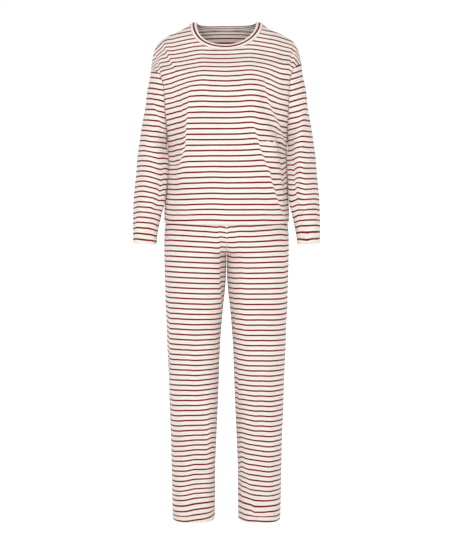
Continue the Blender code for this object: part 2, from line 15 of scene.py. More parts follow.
import bpy
import numpy as np
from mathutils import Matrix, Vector


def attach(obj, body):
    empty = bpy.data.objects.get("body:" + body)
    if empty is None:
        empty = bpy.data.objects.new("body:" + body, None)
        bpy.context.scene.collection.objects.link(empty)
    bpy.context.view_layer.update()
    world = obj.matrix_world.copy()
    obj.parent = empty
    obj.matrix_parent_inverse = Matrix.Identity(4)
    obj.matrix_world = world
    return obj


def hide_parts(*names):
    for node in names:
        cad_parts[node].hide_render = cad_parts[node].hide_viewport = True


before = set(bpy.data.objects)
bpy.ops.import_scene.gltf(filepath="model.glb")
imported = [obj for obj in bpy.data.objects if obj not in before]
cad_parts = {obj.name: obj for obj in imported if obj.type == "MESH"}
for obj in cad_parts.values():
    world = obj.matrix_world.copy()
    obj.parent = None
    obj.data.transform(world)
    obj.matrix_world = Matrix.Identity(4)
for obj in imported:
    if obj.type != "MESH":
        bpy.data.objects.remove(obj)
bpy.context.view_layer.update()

MM = 0.001
LEFT, RIGHT = -1, 1  # as seen from the front
FRONT, BACK = -1, 1  # the sign of Y
print("frame:", len(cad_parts), "plain cloth walls")

# %% [markdown]
# ## The measures of the pattern
# A garment is a set of flat pieces with a few sizes each. The numbers here are the same ones that
# the plain walls were made from, so the finer cloth lies exactly on them: the thickness of one
# layer, the hems, the neckline, and how far apart two pieces stay at a seam.

# %% Sizes
CLOTH = 1.5  # one layer of the jersey
HEM_CLOTH = 2.6  # where a hem is turned up, on the inside
BAND_CLOTH = 2.0  # the neckband is a folded strip
SEAM_GAP = 0.3
ARMHOLE_GAP = 0.8
UNDERARM_GAP = 0.7

HEM_HEIGHT = -569.0
UNDERARM_HEIGHT = -340.0
SHOULDER_TIP_HEIGHT = {LEFT: -130.0, RIGHT: -114.0}
NECK_HALF_WIDTH = 104.0
NECK_DROP = {FRONT: 77.0, BACK: 16.0}
NECK_SQUARENESS = {LEFT: 2.2, RIGHT: 1.85}
NECK_CROWDING = 1.3
TRUNK_SQUARENESS = 2.5
SEAM_FLATNESS = 0.75
BAND_TAPER = {"across": 0.82, FRONT: 0.86, BACK: 0.87}
BAND_RISE = {"shoulder": 5.5, FRONT: 15.0, BACK: 15.0}
BAND_CROWN = 1.2
BAND_GAP = 0.6

CUFF_HEIGHT = -630.0
CUFF_TILT = 2.0
SLEEVE_RADIUS = 50.0
SLEEVE_WRAP = {LEFT: 11.5, RIGHT: 10.5}  # how far its front laps over the trunk's side
SLEEVE_WRAP_DEPTH = 32.0
SLEEVE_SETTLE = 0.35

WAIST_SEAM_HEIGHT = -385.0
WAIST_HEIGHT = -350.0
CROTCH_HEIGHT = -660.0
LEG_HEM_HEIGHT = -1443.0
LEG_ROUNDNESS = 0.88
SEAT_FOLDS_START = -565.0
SEAT_BLEND = 95.0

# How finely each piece is divided
NECK_STEPS = 52
SHOULDER_STEPS = 36
SIDE_STEPS = 62
ARMHOLE_STEPS = 66
SLEEVE_STEPS = 150
LEG_AROUND = {FRONT: 92, BACK: 50}
LEG_STEPS = 190
FAN_OUT = 6

print("top from the neck to the hem:", -HEM_HEIGHT, "mm, trousers to", -LEG_HEM_HEIGHT, "mm")

# %% [markdown]
# A cut edge or a cross section is a short table with a row for each height and a name for each
# column. `glide` reads one column as a smooth curve. It never swings past the values it runs
# between, which matters where two legs meet at the crotch and nothing may overlap.

# %% Tables and how to read them
def columns(names, *rows):
    """A short table as named columns of numbers."""
    return dict(zip(names.split(), np.array(rows, float).T))


def glide(table, column, at):
    """The smooth curve through one column of a table, read at values of its first column."""
    keys = table[next(iter(table))]
    order = np.argsort(keys)
    keys, values = keys[order], table[column][order]
    steps = np.diff(values) / np.diff(keys)
    before, after = steps[:-1], steps[1:]
    same_way = before * after > 0
    both = np.where(same_way, before + after, 1)
    inner = np.where(same_way, 2 * before * after / both, 0)
    slopes = np.concatenate([steps[:1], inner, steps[-1:]])
    at = np.clip(np.asarray(at, float), keys[0], keys[-1])
    k = np.clip(np.searchsorted(keys, at) - 1, 0, len(keys) - 2)
    span = keys[k + 1] - keys[k]
    u = (at - keys[k]) / span
    rise = values[k + 1] - values[k]
    bend = (1 - u) * (slopes[k] * span - rise) + u * (rise - slopes[k + 1] * span)
    return values[k] + u * rise + u * (1 - u) * bend


def unit(vectors):
    length = np.linalg.norm(vectors, axis=-1, keepdims=True)
    return vectors / np.maximum(length, 1e-9)


def smooth_step(share):
    share = np.clip(share, 0, 1)
    return share * share * (3 - 2 * share)


SHOULDER = columns(
    "height half_width",
    (-160, 220.5), (-136, 217.5), (-114, 215), (-100, 212.5), (-85, 209.5), (-74, 206), (-62, 200),
    (-51.5, 191.5), (-41, 178), (-30, 157), (-20, 133.5), (-9, 113.5), (-4, 107.5), (0, 104),
)
SIDE = columns(
    "height left right",
    (-574, 180, 181), (-539, 181, 182), (-516, 179, 181), (-470, 174.5, 179), (-424, 171.5, 177),
    (-377, 169.5, 175), (-340, 170, 175.5),
)
TRUNK = columns(
    "height front back",
    (-583, 127, 116), (-500, 126, 106), (-400, 129, 98), (-300, 132, 102), (-230, 132, 107),
    (-190, 129, 106), (-155, 119, 102), (-125, 103, 96), (-87, 75.5, 86), (-45, 59, 76), (0, 48,
     62),
)
SLEEVE = columns(
    "height outer inner_left inner_right middle front_to_back",
    (-640, 269, 203.5, 206, -21, 32.5), (-608, 270.5, 200, 202, -19, 36),
    (-585, 271, 196.5, 197.5, -17, 40), (-562, 270.5, 191, 192.5, -15, 44),
    (-539, 270, 186, 187.5, -12, 47), (-516, 269.5, 181.5, 183.5, -10, 50),
    (-470, 266, 177, 181, -6, 55), (-424, 261, 174, 179, -2, 59), (-377, 257, 171.5, 177, 0, 62),
    (-340, 251.5, 170, 175.5, 0, 64), (-280, 242, 162, 166, 0, 63), (-220, 230, 152, 156, 0, 61),
    (-174, 223, 147, 150, 0, 58), (-136, 217.5, 143, 146, 0, 55), (-114, 215.5, 141, 144, 0, 53),
    (-80, 210, 140, 143, 0, 50),
)
ARMHOLE = columns(
    "way round",
    (0, 0), (12, 36), (24, 62), (38, 82), (58, 99), (85, 114), (110, 133), (140, 158), (180, 180),
)
LEG = columns(
    "height centre outer inner front back",
    (-1450, 97, 159.5, 34.5, 68, 70), (-1390, 97, 160.5, 33.5, 68, 70), (-1301, 97, 162, 33, 70,
     72),
    (-1211, 96, 163.5, 30, 73, 76), (-1121, 96, 167, 26, 77, 82), (-1032, 95, 169, 22.5, 82, 88),
    (-943, 95, 173, 19.5, 87, 93), (-855, 94, 175.5, 13.5, 92, 98), (-811, 93, 178, 9.5, 94, 101),
    (-767, 93, 178.5, 4.5, 96, 104), (-726, 92, 180, 1.5, 99, 107), (-690, 91, 180.5, 0.6, 101,
     109),
    (-660, 90, 181, 0.5, 104, 111), (-650, 89, 181, -20, 105, 111.5), (-633, 87, 181, -58, 107,
     112),
    (-605, 82, 180.5, -130, 111, 111), (-588, 79, 179.5, -165, 114, 109),
    (-569, 76, 176.6, -200, 116, 107), (-535, 68, 174, -240, 115, 100),
    (-490, 58, 162, -260, 109, 91), (-445, 46, 150, -260, 101, 85), (-385, 36, 136, -260, 94, 80),
    (-350, 34, 131, -260, 91, 77),
)
print("trunk at the chest:", glide(TRUNK, "front", -230) + glide(TRUNK, "back", -230), "mm deep")

# %% [markdown]
# ## Folds and creases
# Cloth that hangs from the shoulders falls in a few large folds, and between them lie small
# creases where it is pulled: at the shoulder tips, in the armpits, from the crotch and at the
# inner side of each knee. The large folds are the ones that the plain walls already have. The
# creases are laid one by one, each along a path of three points. Each one fades out at both ends,
# and its two flanks have their own widths, so a narrow flank makes the sharp edge of a fold that
# tips over. Where a crease also drags the stripes, `step` says how much lower they run on its
# right side, and `soft` over what distance.

# %% The large folds
FOLD = "from_x from_height to_x to_height width_left width_right lift"
FOLD_FADE = 45.0  # how far past its ends a fold dies out
TRUNK_FOLDS = {
    FRONT: columns(
        FOLD,
        (-98, -205, -128, -430, 34, 60, 5), (-140, -240, -150, -470, 26, 26, -5),
        (84, -200, 140, -365, 40, 16, 6), (140, -365, 160, -540, 44, 9, 6),
        (104, -230, 150, -350, 14, 26, -7), (150, -350, 170, -490, 9, 16, -4),
        (-95, -60, -45, -135, 30, 30, 2), (-30, -569, -10, -500, 40, 40, -2),
        (60, -569, 70, -520, 36, 36, 2),
    ),
    BACK: columns(
        FOLD,
        (-96, -210, -120, -500, 30, 40, 5), (100, -230, 128, -480, 40, 28, 5),
        (-140, -300, -146, -500, 20, 20, -4), (142, -310, 148, -500, 20, 20, -4),
        (-20, -430, -34, -560, 34, 34, -3), (30, -400, 44, -560, 34, 34, 3),
        (0, -70, 0, -160, 90, 90, 3),
    ),
}
LEG_FOLDS = {
    FRONT: columns(
        FOLD,
        (-26, -500, -24, -800, 44, 12, 5), (52, -590, 50, -760, 24, 20, 3),
        (-128, -700, -120, -1200, 30, 30, 3), (-92, -820, -80, -1240, 34, 24, -3),
        (-46, -1080, -52, -1443, 16, 26, 5), (-96, -1150, -100, -1443, 22, 22, -4),
        (-138, -1200, -134, -1443, 18, 20, 3), (40, -820, 52, -1100, 16, 26, 4),
        (96, -760, 92, -1180, 34, 34, 2), (48, -1190, 54, -1443, 12, 24, 5),
        (96, -1220, 92, -1443, 24, 20, -4), (136, -1150, 138, -1443, 24, 20, 3),
    ),
    BACK: columns(
        FOLD,
        (-120, -700, -84, -900, 26, 30, 4), (118, -690, 88, -880, 30, 26, 4),
        (-60, -720, -70, -1100, 26, 26, -4), (58, -730, 74, -1060, 26, 26, -4),
        (-110, -1000, -96, -1443, 30, 26, 4), (112, -980, 92, -1443, 26, 30, 4),
        (-136, -1180, -132, -1443, 20, 20, -3), (134, -1160, 130, -1443, 20, 20, -3),
    ),
}
SLEEVE_FOLDS = columns(
    "from_turn from_height to_turn to_height width lift",
    (20, -190, 120, -330, 26, 4), (60, -230, 150, -350, 20, -5), (80, -345, 70, -560, 26, 3.5),
    (130, -380, 120, -600, 24, -4), (250, -230, 215, -360, 26, -5), (290, -330, 280, -560, 30, 3.5),
)


def fold_share(folds, i, height):
    """How far along a fold each height is, and how far past its ends."""
    top, bottom = folds["from_height"][i], folds["to_height"][i]
    past = np.maximum(0, np.maximum(height - max(top, bottom), min(top, bottom) - height))
    return np.clip((height - top) / (bottom - top), 0, 1), past


def fold_lift(folds, x, height):
    """How far the large folds lift the cloth at each point, seen from the front."""
    total = np.zeros(np.broadcast(x, height).shape)
    for i, lift in enumerate(folds["lift"]):
        share, past = fold_share(folds, i, height)
        off = x - (folds["from_x"][i] + (folds["to_x"][i] - folds["from_x"][i]) * share)
        width = np.where(off < 0, folds["width_left"][i], folds["width_right"][i])
        total += lift * np.exp(-((off / width) ** 2) - (past / FOLD_FADE) ** 2)
    return total


def sleeve_fold_lift(turn, height):
    """The same for folds placed by how far round the arm they lie."""
    total = np.zeros(np.broadcast(turn, height).shape)
    for i, lift in enumerate(SLEEVE_FOLDS["lift"]):
        share, past = fold_share(SLEEVE_FOLDS, i, height)
        start, end = SLEEVE_FOLDS["from_turn"][i], SLEEVE_FOLDS["to_turn"][i]
        off = np.radians(turn - (start + (end - start) * share)) * SLEEVE_RADIUS
        total += lift * np.exp(-((off / SLEEVE_FOLDS["width"][i]) ** 2) - (past / FOLD_FADE) ** 2)
    return total


print("large folds:", sum(len(t["lift"]) for t in (*TRUNK_FOLDS.values(), *LEG_FOLDS.values())))

# %% The creases
CREASE = "x1 z1 x2 z2 x3 z3 left right lift step soft"
CREASE_BLUNTNESS = 0.7  # below 1, a crease is deep along more of its length
CREASE_DRAG = 22.0  # how far to either side a crease drags the stripes
CREASES = {
    ("top", FRONT): columns(
        CREASE,
        (-99, -180, -113, -320, -148, -445, 8, 26, 3, 0, 2),
        (97, -160, 136, -264, 174, -338, 26, 7, 3.5, 0, 2),
        (74, -190, 84, -275, 97, -352, 26, 10, 2.5, 1, 3),
        (74, -280, 96, -365, 122, -430, 24, 5, 2.6, 4.5, 0.8),
        (116, -405, 128, -462, 158, -548, 22, 5, 3.2, 6, 0.8),
        (-181, -54, -166, -93, -140, -142, 7, 9, 2.4, -7, 1.6),
        (-204, -82, -196, -113, -185, -156, 4, 4, -3, -6, 0.8),
        (-212, -96, -205, -122, -198, -146, 4, 4, 2, 0, 2),
        (192, -62, 186, -92, 180, -140, 5, 4, -3, 5, 0.8),
        (203, -80, 199, -104, 197, -124, 4, 4, -2, 0, 2),
        (176, -362, 159, -410, 168, -462, 6, 7, 2.5, -4, 3),
        (-174, -352, -160, -396, -164, -440, 6, 6, 2, 2, 3),
        (-120, -90, -132, -150, -128, -215, 16, 20, 1.2, 0, 2),
        (128, -100, 150, -170, 158, -240, 20, 16, 1.2, 0, 2),
        (-60, -420, -72, -500, -66, -575, 18, 22, 0.9, 0, 2),
        (30, -400, 22, -480, 26, -575, 22, 20, 0.8, 0, 2),
        (-213, -190, -197, -255, -174, -322, 14, 8, 3, 3, 3),
        (-206, -315, -204, -412, -226, -520, 10, 16, 2.2, 0, 3),
        (-246, -360, -240, -450, -252, -590, 10, 14, 1.6, 0, 3),
        (228, -190, 208, -300, 216, -390, 20, 9, 4, -2, 4),
        (214, -360, 218, -450, 240, -600, 14, 11, 2.5, -1, 4),
        (196, -330, 194, -420, 208, -540, 8, 10, -1.6, 0, 3),
    ),
    ("top", BACK): columns(
        CREASE,
        (196, -80, 180, -130, 150, -180, 9, 7, 2.2, 4, 3),
        (-194, -84, -182, -130, -152, -186, 7, 9, 2.2, -4, 3),
        (168, -330, 140, -360, 96, -372, 10, 10, 2, 2, 4),
        (-166, -335, -138, -372, -104, -396, 10, 10, 2, -2, 4),
        (90, -180, 112, -320, 120, -500, 12, 26, 2.5, 0, 3),
        (-84, -200, -100, -330, -104, -520, 26, 12, 2.5, 0, 3),
        (10, -320, -4, -420, 6, -560, 22, 18, 1.5, 0, 3),
        (222, -230, 204, -300, 190, -352, 9, 14, 2.6, -3, 3),
        (-220, -240, -206, -300, -186, -356, 14, 9, 2.6, 3, 3),
        (226, -380, 216, -470, 240, -600, 12, 14, 2, 0, 3),
        (-228, -390, -214, -480, -238, -600, 14, 12, 2, 0, 3),
    ),
    ("trousers", FRONT): columns(
        CREASE,
        (-21, -520, -21, -640, -19, -765, 24, 2.5, 3, 0, 2),
        (-20, -735, -17, -790, -12, -850, 16, 3, 2.5, 0, 2),
        (-3, -540, -1, -600, 1, -655, 7, 7, -2, 0, 2),
        (14, -560, 12, -620, 10, -700, 9, 9, 1.2, 0, 2),
        (46, -580, 50, -740, 47, -930, 14, 16, 1.6, 0, 2),
        (-168, -730, -166, -900, -162, -1100, 3, 14, 2.2, 0, 2),
        (27, -800, 25, -980, 40, -1200, 3, 18, 3, 0, 2),
        (39, -1160, 41, -1300, 42, -1425, 3, 14, 2.8, 0, 2),
        (-30, -1040, -38, -1200, -46, -1443, 16, 3, 3, 0, 2),
        (-63, -1000, -57, -1110, -57, -1240, 16, 9, 2.5, 0, 3),
        (76, -1130, 66, -1270, 62, -1370, 9, 16, 2, 0, 3),
        (-124, -1150, -120, -1290, -126, -1443, 16, 20, -1.6, 0, 3),
        (128, -900, 122, -1060, 130, -1240, 18, 14, 1.5, 0, 3),
        (168, -560, 171, -640, 168, -760, 12, 5, 1.5, 0, 3),
        (-80, -600, -70, -690, -48, -760, 12, 16, 0.8, 0, 2),
        (92, -590, 82, -680, 62, -760, 16, 12, 0.8, 0, 2),
    ),
    ("trousers", BACK): columns(
        CREASE,
        (3, -590, 34, -690, 92, -760, 10, 14, 2.5, 3, 4),
        (-3, -590, -34, -696, -96, -776, 14, 10, 2.5, -3, 4),
        (6, -640, 26, -760, 52, -900, 7, 14, 3, -3, 3),
        (-6, -640, -24, -750, -48, -880, 14, 7, 3, 3, 3),
        (150, -880, 108, -960, 52, -1010, 12, 12, 2, 0, 3),
        (-148, -860, -104, -950, -50, -990, 12, 12, 2, 0, 3),
        (60, -980, 70, -1160, 64, -1443, 10, 18, 2.5, 0, 3),
        (-64, -960, -76, -1180, -66, -1443, 18, 10, 2.5, 0, 3),
        (132, -1100, 126, -1260, 132, -1443, 14, 10, 1.8, 0, 3),
        (-134, -1060, -124, -1240, -130, -1443, 10, 14, 1.8, 0, 3),
    ),
}


def beside(path, x, z):
    """For each point, how far it is to the right of a path that runs down, and how far along."""
    best, side, along = np.full(x.shape, np.inf), np.ones(x.shape), np.zeros(x.shape)
    for i, (start, end) in enumerate(zip(path[:-1], path[1:])):
        run = end - start
        px, pz = x - start[0], z - start[1]
        t = np.clip((px * run[0] + pz * run[1]) / (run @ run), 0, 1)
        distance = np.hypot(px - t * run[0], pz - t * run[1])
        nearer = distance < best
        best = np.where(nearer, distance, best)
        side = np.where(nearer, np.sign(run[0] * pz - run[1] * px), side)
        along = np.where(nearer, (i + t) / (len(path) - 1), along)
    return best * side, along


def crease_fields(creases, x, z):
    """How far the creases lift the cloth, and how much lower they make the stripes run."""
    x, z = np.broadcast_arrays(x, z)
    lift, drag = np.zeros(x.shape), np.zeros(x.shape)
    for row in zip(*creases.values()):
        x1, z1, x2, z2, x3, z3, left, right, height, step, soft = row
        first, middle, last = np.array([(x1, z1), (x2, z2), (x3, z3)])
        t = np.linspace(0, 1, 9)[:, None]
        handle = 2 * middle - (first + last) / 2
        path = (1 - t) ** 2 * first + 2 * t * (1 - t) * handle + t**2 * last
        off, along = beside(path, x, z)
        fade = np.sin(np.pi * along) ** CREASE_BLUNTNESS
        width = np.where(off < 0, left, right)
        lift += height * fade * np.exp(-((off / width) ** 2))
        drag += step * fade * 0.5 * np.tanh(off / soft) * np.exp(-((off / CREASE_DRAG) ** 2))
    return lift, drag


print("creases:", {f"{name} {'front' if face < 0 else 'back'}": len(t["lift"])
                   for (name, face), t in CREASES.items()})

# %% [markdown]
# ## Where the stripes run
# The stripes are knitted in, so they follow the cloth and not the height above the floor. A count
# of stripes is worked out for each point of the cloth: a whole number is the middle of a red
# stripe. Down the middle of the front one table gives the count at each height. To either side
# the cloth hangs from the shoulder and sags, so a second table says how many millimetres lower
# each stripe runs there. Along the edge of a fold the change comes all at once, and `pinch` draws
# it together onto the fold's line.

# %% Stripe counts
REPEAT = 15.0  # from one stripe to the next along the cloth
SAG_ROUNDS = 4  # how often the sag is looked up again at the height that it leads to
BACK_SAG_FROM = 170.0  # the back takes its sag from the front's outer columns
BACK_SAG_WIDTH = 172.0
BACK_SAG_POWER = 2.2

TOP_STRIPES = columns(
    "height count",
    (30, -9.1), (-31.5, -4), (-79.8, 0), (-140.8, 5), (-210.8, 10), (-285.3, 15), (-360.7, 20),
    (-436.3, 25), (-512.1, 30), (-557, 33), (-574, 34), (-592, 35),
)
BACK_STRIPES = columns(
    "height count",
    (20, -6.8), (-5, -4), (-16, -3), (-24.8, -2), (-35.8, -1), (-49, 0), (-64, 1), (-79.5, 2),
    (-140.8, 6), (-210.8, 11), (-285.3, 16), (-360.7, 21), (-436.3, 26), (-512.1, 31), (-557, 34),
    (-574, 35), (-592, 36),
)
TOP_SAG = {
    LEFT: columns(
        "height 0 40 66 104 117 130 142 153 165 177 187 196 204 216",
        (30, 0, -1, -1.5, 6, 8, 10, 12, 14.5, 15, 18, 24, 31, 38, 46),
        (-60, 0, -0.3, -0.7, 4.3, 6.7, 8.8, 11.3, 14.2, 15.2, 18.5, 27, 36, 43, 50),
        (-79, 0, 0, -0.5, 4, 6.5, 8.5, 11, 14, 15.5, 19.5, 23.5, 30, 36, 46),
        (-97, 0, 0.1, -0.4, 4, 6.5, 9, 11.5, 13.6, 17, 20.5, 24.5, 29, 32.5, 43),
        (-115, 0, 0.3, -0.3, 4, 6.5, 9.7, 11.5, 13.7, 17.5, 21.5, 25.5, 29.5, 34.5, 50),
        (-152, 0, -0.5, -2, 3.5, 7, 10.5, 14, 18, 20.5, 22.5, 26, 35, 43, 52),
        (-190, 0, -1, -2.7, 0.5, 4.5, 9.5, 12.5, 16.5, 18.5, 20.5, 22.5, 24, 26, 30),
        (-224, 0, -0.5, -1.5, 0.5, 4.5, 10.5, 12.5, 15.5, 18, 20, 21, 22, 23, 24),
        (-284, 0, -0.3, -0.5, -0.5, 6, 11.8, 14.2, 17, 19.5, 20.5, 21, 22, 23, 24),
        (-329, 0, 0.3, 0.5, 0.5, 9, 13, 14.5, 17.5, 20, 19, 20, 22, 23, 24),
        (-374, 0, -0.3, 0.5, 1, 4.5, 11.5, 13.5, 16, 16.5, 14, 12, 10, 10, 10),
        (-404, 0, -0.6, 0, 1, 2.5, 6.5, 7.8, 8.2, 10.5, 10.5, 10, 10, 10, 10),
        (-434, 0, -1, -0.2, 1.5, 2, 3.7, 6, 6.5, 6.5, 6, 6, 6, 6, 6),
        (-510, 0, -1.3, -0.6, 1.2, 2.2, 2.5, 3, 3.3, 3.2, 2, 1, 0, 0, 0),
        (-555, 0, -1.3, -1.3, 0.4, 1.2, 1.5, 2.1, 2.8, 2.6, 0, -2, -4, -4, -4),
    ),
    RIGHT: columns(
        "height 0 30 66 85 100 117 134 151 162 172 181 189 197 206 216",
        (30, 0, -1.3, -3, -2, 0.3, 3.5, 5, 8, 12, 15.5, 18, 22, 34, 46, 58),
        (-60, 0, -1.5, -3.6, -2.1, 0, 2.8, 5.4, 9.5, 12.5, 15, 17.5, 19.5, 23, 34, 48),
        (-72, 0, -1.5, -3.7, -2.2, 0, 2.7, 5.5, 9.8, 12.8, 15, 16.5, 15, 20, 34, 50),
        (-84, 0, -1.5, -3.7, -2.1, 0.1, 2.9, 6, 10.5, 13.5, 15.2, 17, 16.5, 25, 38, 52),
        (-97, 0, -1.5, -3.7, -1.9, 0.4, 3.5, 7.5, 12.6, 15, 16.3, 17, 20, 30.5, 42, 54),
        (-115, 0, -1.5, -3.8, -1.5, 0.8, 4.5, 10, 15.5, 17.2, 18, 20, 26.5, 35, 45, 56),
        (-152, 0, -1.5, -4.2, -2.5, 1, 5.8, 14, 20.5, 22, 22.5, 24, 26, 32, 44, 56),
        (-190, 0, -1.5, -4.2, -3, -0.5, 4.5, 12.7, 19.7, 22, 23.5, 25, 27, 28, 29, 30),
        (-224, 0, -0.6, -2.8, -2, 0.2, 5.2, 15, 20, 22, 24.5, 26, 28, 29, 30, 31),
        (-284, 0, -0.6, -2.8, 0, 2, 4.2, 8, 19.7, 24, 26, 27, 28, 29, 30, 31),
        (-329, 0, -0.3, -1.6, 0.3, 2.2, 5, 6.5, 6.5, 11, 18, 20, 21, 22, 22, 22),
        (-350, 0, -0.3, -1.4, -1, 0, 3.5, 5.2, 5.5, 8, 14, 16, 17, 17, 17, 17),
        (-374, 0, -0.3, -1, -1.2, -0.5, 1.8, 3.7, 4, 6, 9, 13, 13, 13, 13, 13),
        (-404, 0, -0.3, -0.8, -1.5, -1, 0, 3, 4.3, 10, 4, 0, -3, -3, -3, -3),
        (-434, 0, -0.3, -0.8, -1.4, -0.7, 1.4, 3, 5, 10, 4, 0, -3, -3, -3, -3),
        (-470, 0, -0.3, -0.5, -0.7, 0.2, 1.7, 2.7, 3.2, 4.6, 3, 1, 0, 0, 0, 0),
        (-510, 0, 0, 0, 0, 0.6, 1.6, 3, 3.6, 5, 5, 5, 5, 5, 5, 5),
        (-555, 0, 0, 0, 0, -0.3, 0.4, 1.5, 2, 2.5, 3, 3, 3, 3, 3, 3),
    ),
}
TOP_KINKS = (
    columns(
        "height x",
        (-180, -101), (-260, -107), (-300, -110), (-346, -112), (-388, -128), (-430, -144),
    ),
    columns("height x", (-160, 106), (-210, 114), (-264, 136), (-286, 149), (-340, 170)),
    columns(
        "height x",
        (-300, 79), (-330, 84), (-358, 95), (-388, 106), (-421, 119), (-447, 124), (-482, 131),
        (-514, 142), (-545, 156),
    ),
)
SLEEVE_STRIPES = {
    LEFT: columns(
        "height count",
        (-650, -1.9), (-618, 0), (-567.5, 3), (-420.8, 13), (-275, 23), (-137.5, 32), (-80, 35.8),
    ),
    RIGHT: columns(
        "height count",
        (-650, -1.7), (-615.8, 0), (-576.3, 2), (-425.2, 12), (-275.9, 22), (-133.5, 31), (-70, 35),
    ),
}
SLEEVE_SAG = {
    LEFT: columns(
        "height 0 30 45 60 75 90 105 120 135 150 180",
        (-100, 0, 0.5, 2, 3, 3, 3, 6, 9, 10, 10, 10),
        (-180, 0.5, 1, 1.5, 2.5, 4.5, 6.5, 7.3, 8.5, 10.2, 10.7, 11),
        (-220, -0.5, 0.3, 1, 1.5, 1.8, 3.6, 7, 9, 10, 11, 12),
        (-280, -1, -0.6, 0, 0.5, 1.9, 3.1, 4, 7.3, 9, 11.5, 12),
        (-340, -0.3, -0.6, -0.8, -0.6, 1.5, 2.8, 3.5, 4.5, 5.1, 6.5, 8),
        (-380, 0.5, -0.3, -1, -1.1, 0.5, 3.9, 6.5, 6.5, 7.5, 9.2, 10),
        (-420, 2.3, 0, -1.2, -1.2, 0.3, 3.8, 8, 9, 7, 9.2, 10),
        (-470, 4.6, 1.3, -0.5, -1.4, 0.3, 3.5, 6.9, 12.3, 8.8, 10.1, 11),
        (-520, 7.3, 3, 0.2, 0.3, 0.7, 2, 7.5, 11, 11.8, 14.2, 15),
        (-550, 7, 4, 1, -0.4, -0.4, 0.8, 2.4, 5, 8.5, 12, 13),
        (-580, 3.5, 1.4, -1.1, -2.6, -2.1, -1.5, -0.2, 2.5, 5, 8.5, 10),
        (-600, 0.5, -1.1, -3, -3.4, -2.7, -1.3, -0.2, 1.4, 3.3, 6, 8),
        (-620, -1, -2.8, -3.7, -3.7, -2.4, -1.5, -0.2, 0.5, 1.9, 3.7, 5),
    ),
    RIGHT: columns(
        "height 0 30 45 60 75 90 105 120 135 150 180",
        (-100, 0, 1, 3.5, 5.2, 6, 7, 8, 9, 10, 11, 12),
        (-140, -0.3, 0.5, 2.8, 6, 8.6, 10.6, 10.6, 11.5, 12.5, 12.5, 12),
        (-180, -1.1, -0.9, 0.9, 4, 6.6, 9.6, 10.8, 11.2, 12, 12, 12),
        (-220, 1, 0, -0.2, 1.5, 4.2, 7, 9.8, 12, 13, 13, 13),
        (-250, 0.9, 1, 0.2, 0.6, 3.3, 6.1, 8.6, 10.5, 12, 13, 13),
        (-280, 1.2, 1.1, 1.2, 0.4, 1.1, 4.7, 7.2, 9.4, 11.5, 12.5, 13),
        (-310, 2.2, 1.7, 1.5, 1.2, 0.8, 1.2, 5.6, 8.5, 10.5, 12.5, 13),
        (-340, 2.2, 2, 1.8, 1.8, 1.1, 0.4, 1.4, 6, 9.5, 11, 12),
        (-380, 2.8, 2.3, 1.5, 1.8, 0.5, -1.9, 2.6, 7.6, 10.3, 11, 11),
        (-420, 2.7, 2, 1.5, 1.8, 1.8, -2.3, 1.1, 7.7, 6.4, 8.3, 9),
        (-470, 6, 2, 1.5, 2.3, 2.8, -0.6, -3.5, 3.8, 4, 2.6, 3),
        (-520, 6.2, 3.4, 1.5, 1.5, 1.9, 2.9, 2.9, 5.9, 9.8, 8.5, 9),
        (-550, 4.5, 3.1, 0.9, 0.6, 0.2, 0.1, 1.8, 3.4, 7.4, 10.5, 11),
        (-580, 1.5, 0.8, -1.1, -1.4, -1.5, -1.2, -0.2, 0.5, 1.9, 5, 6),
        (-600, -1.4, -1.4, -1.6, -1.6, -1.8, -0.5, 0, 0, 0.2, 1.9, 3),
        (-620, -4.6, -3.2, -2.6, -2.8, -2.5, -0.5, 1.1, 0.6, -0.3, -0.4, 0),
    ),
}
TROUSER_STRIPES = columns(
    "height count",
    (-340, -16.8), (-588, 0), (-737.5, 10), (-887.5, 20), (-1035, 30), (-1182.5, 40), (-1330, 50),
    (-1373, 53), (-1407, 55), (-1435, 57), (-1455, 58.2),
)
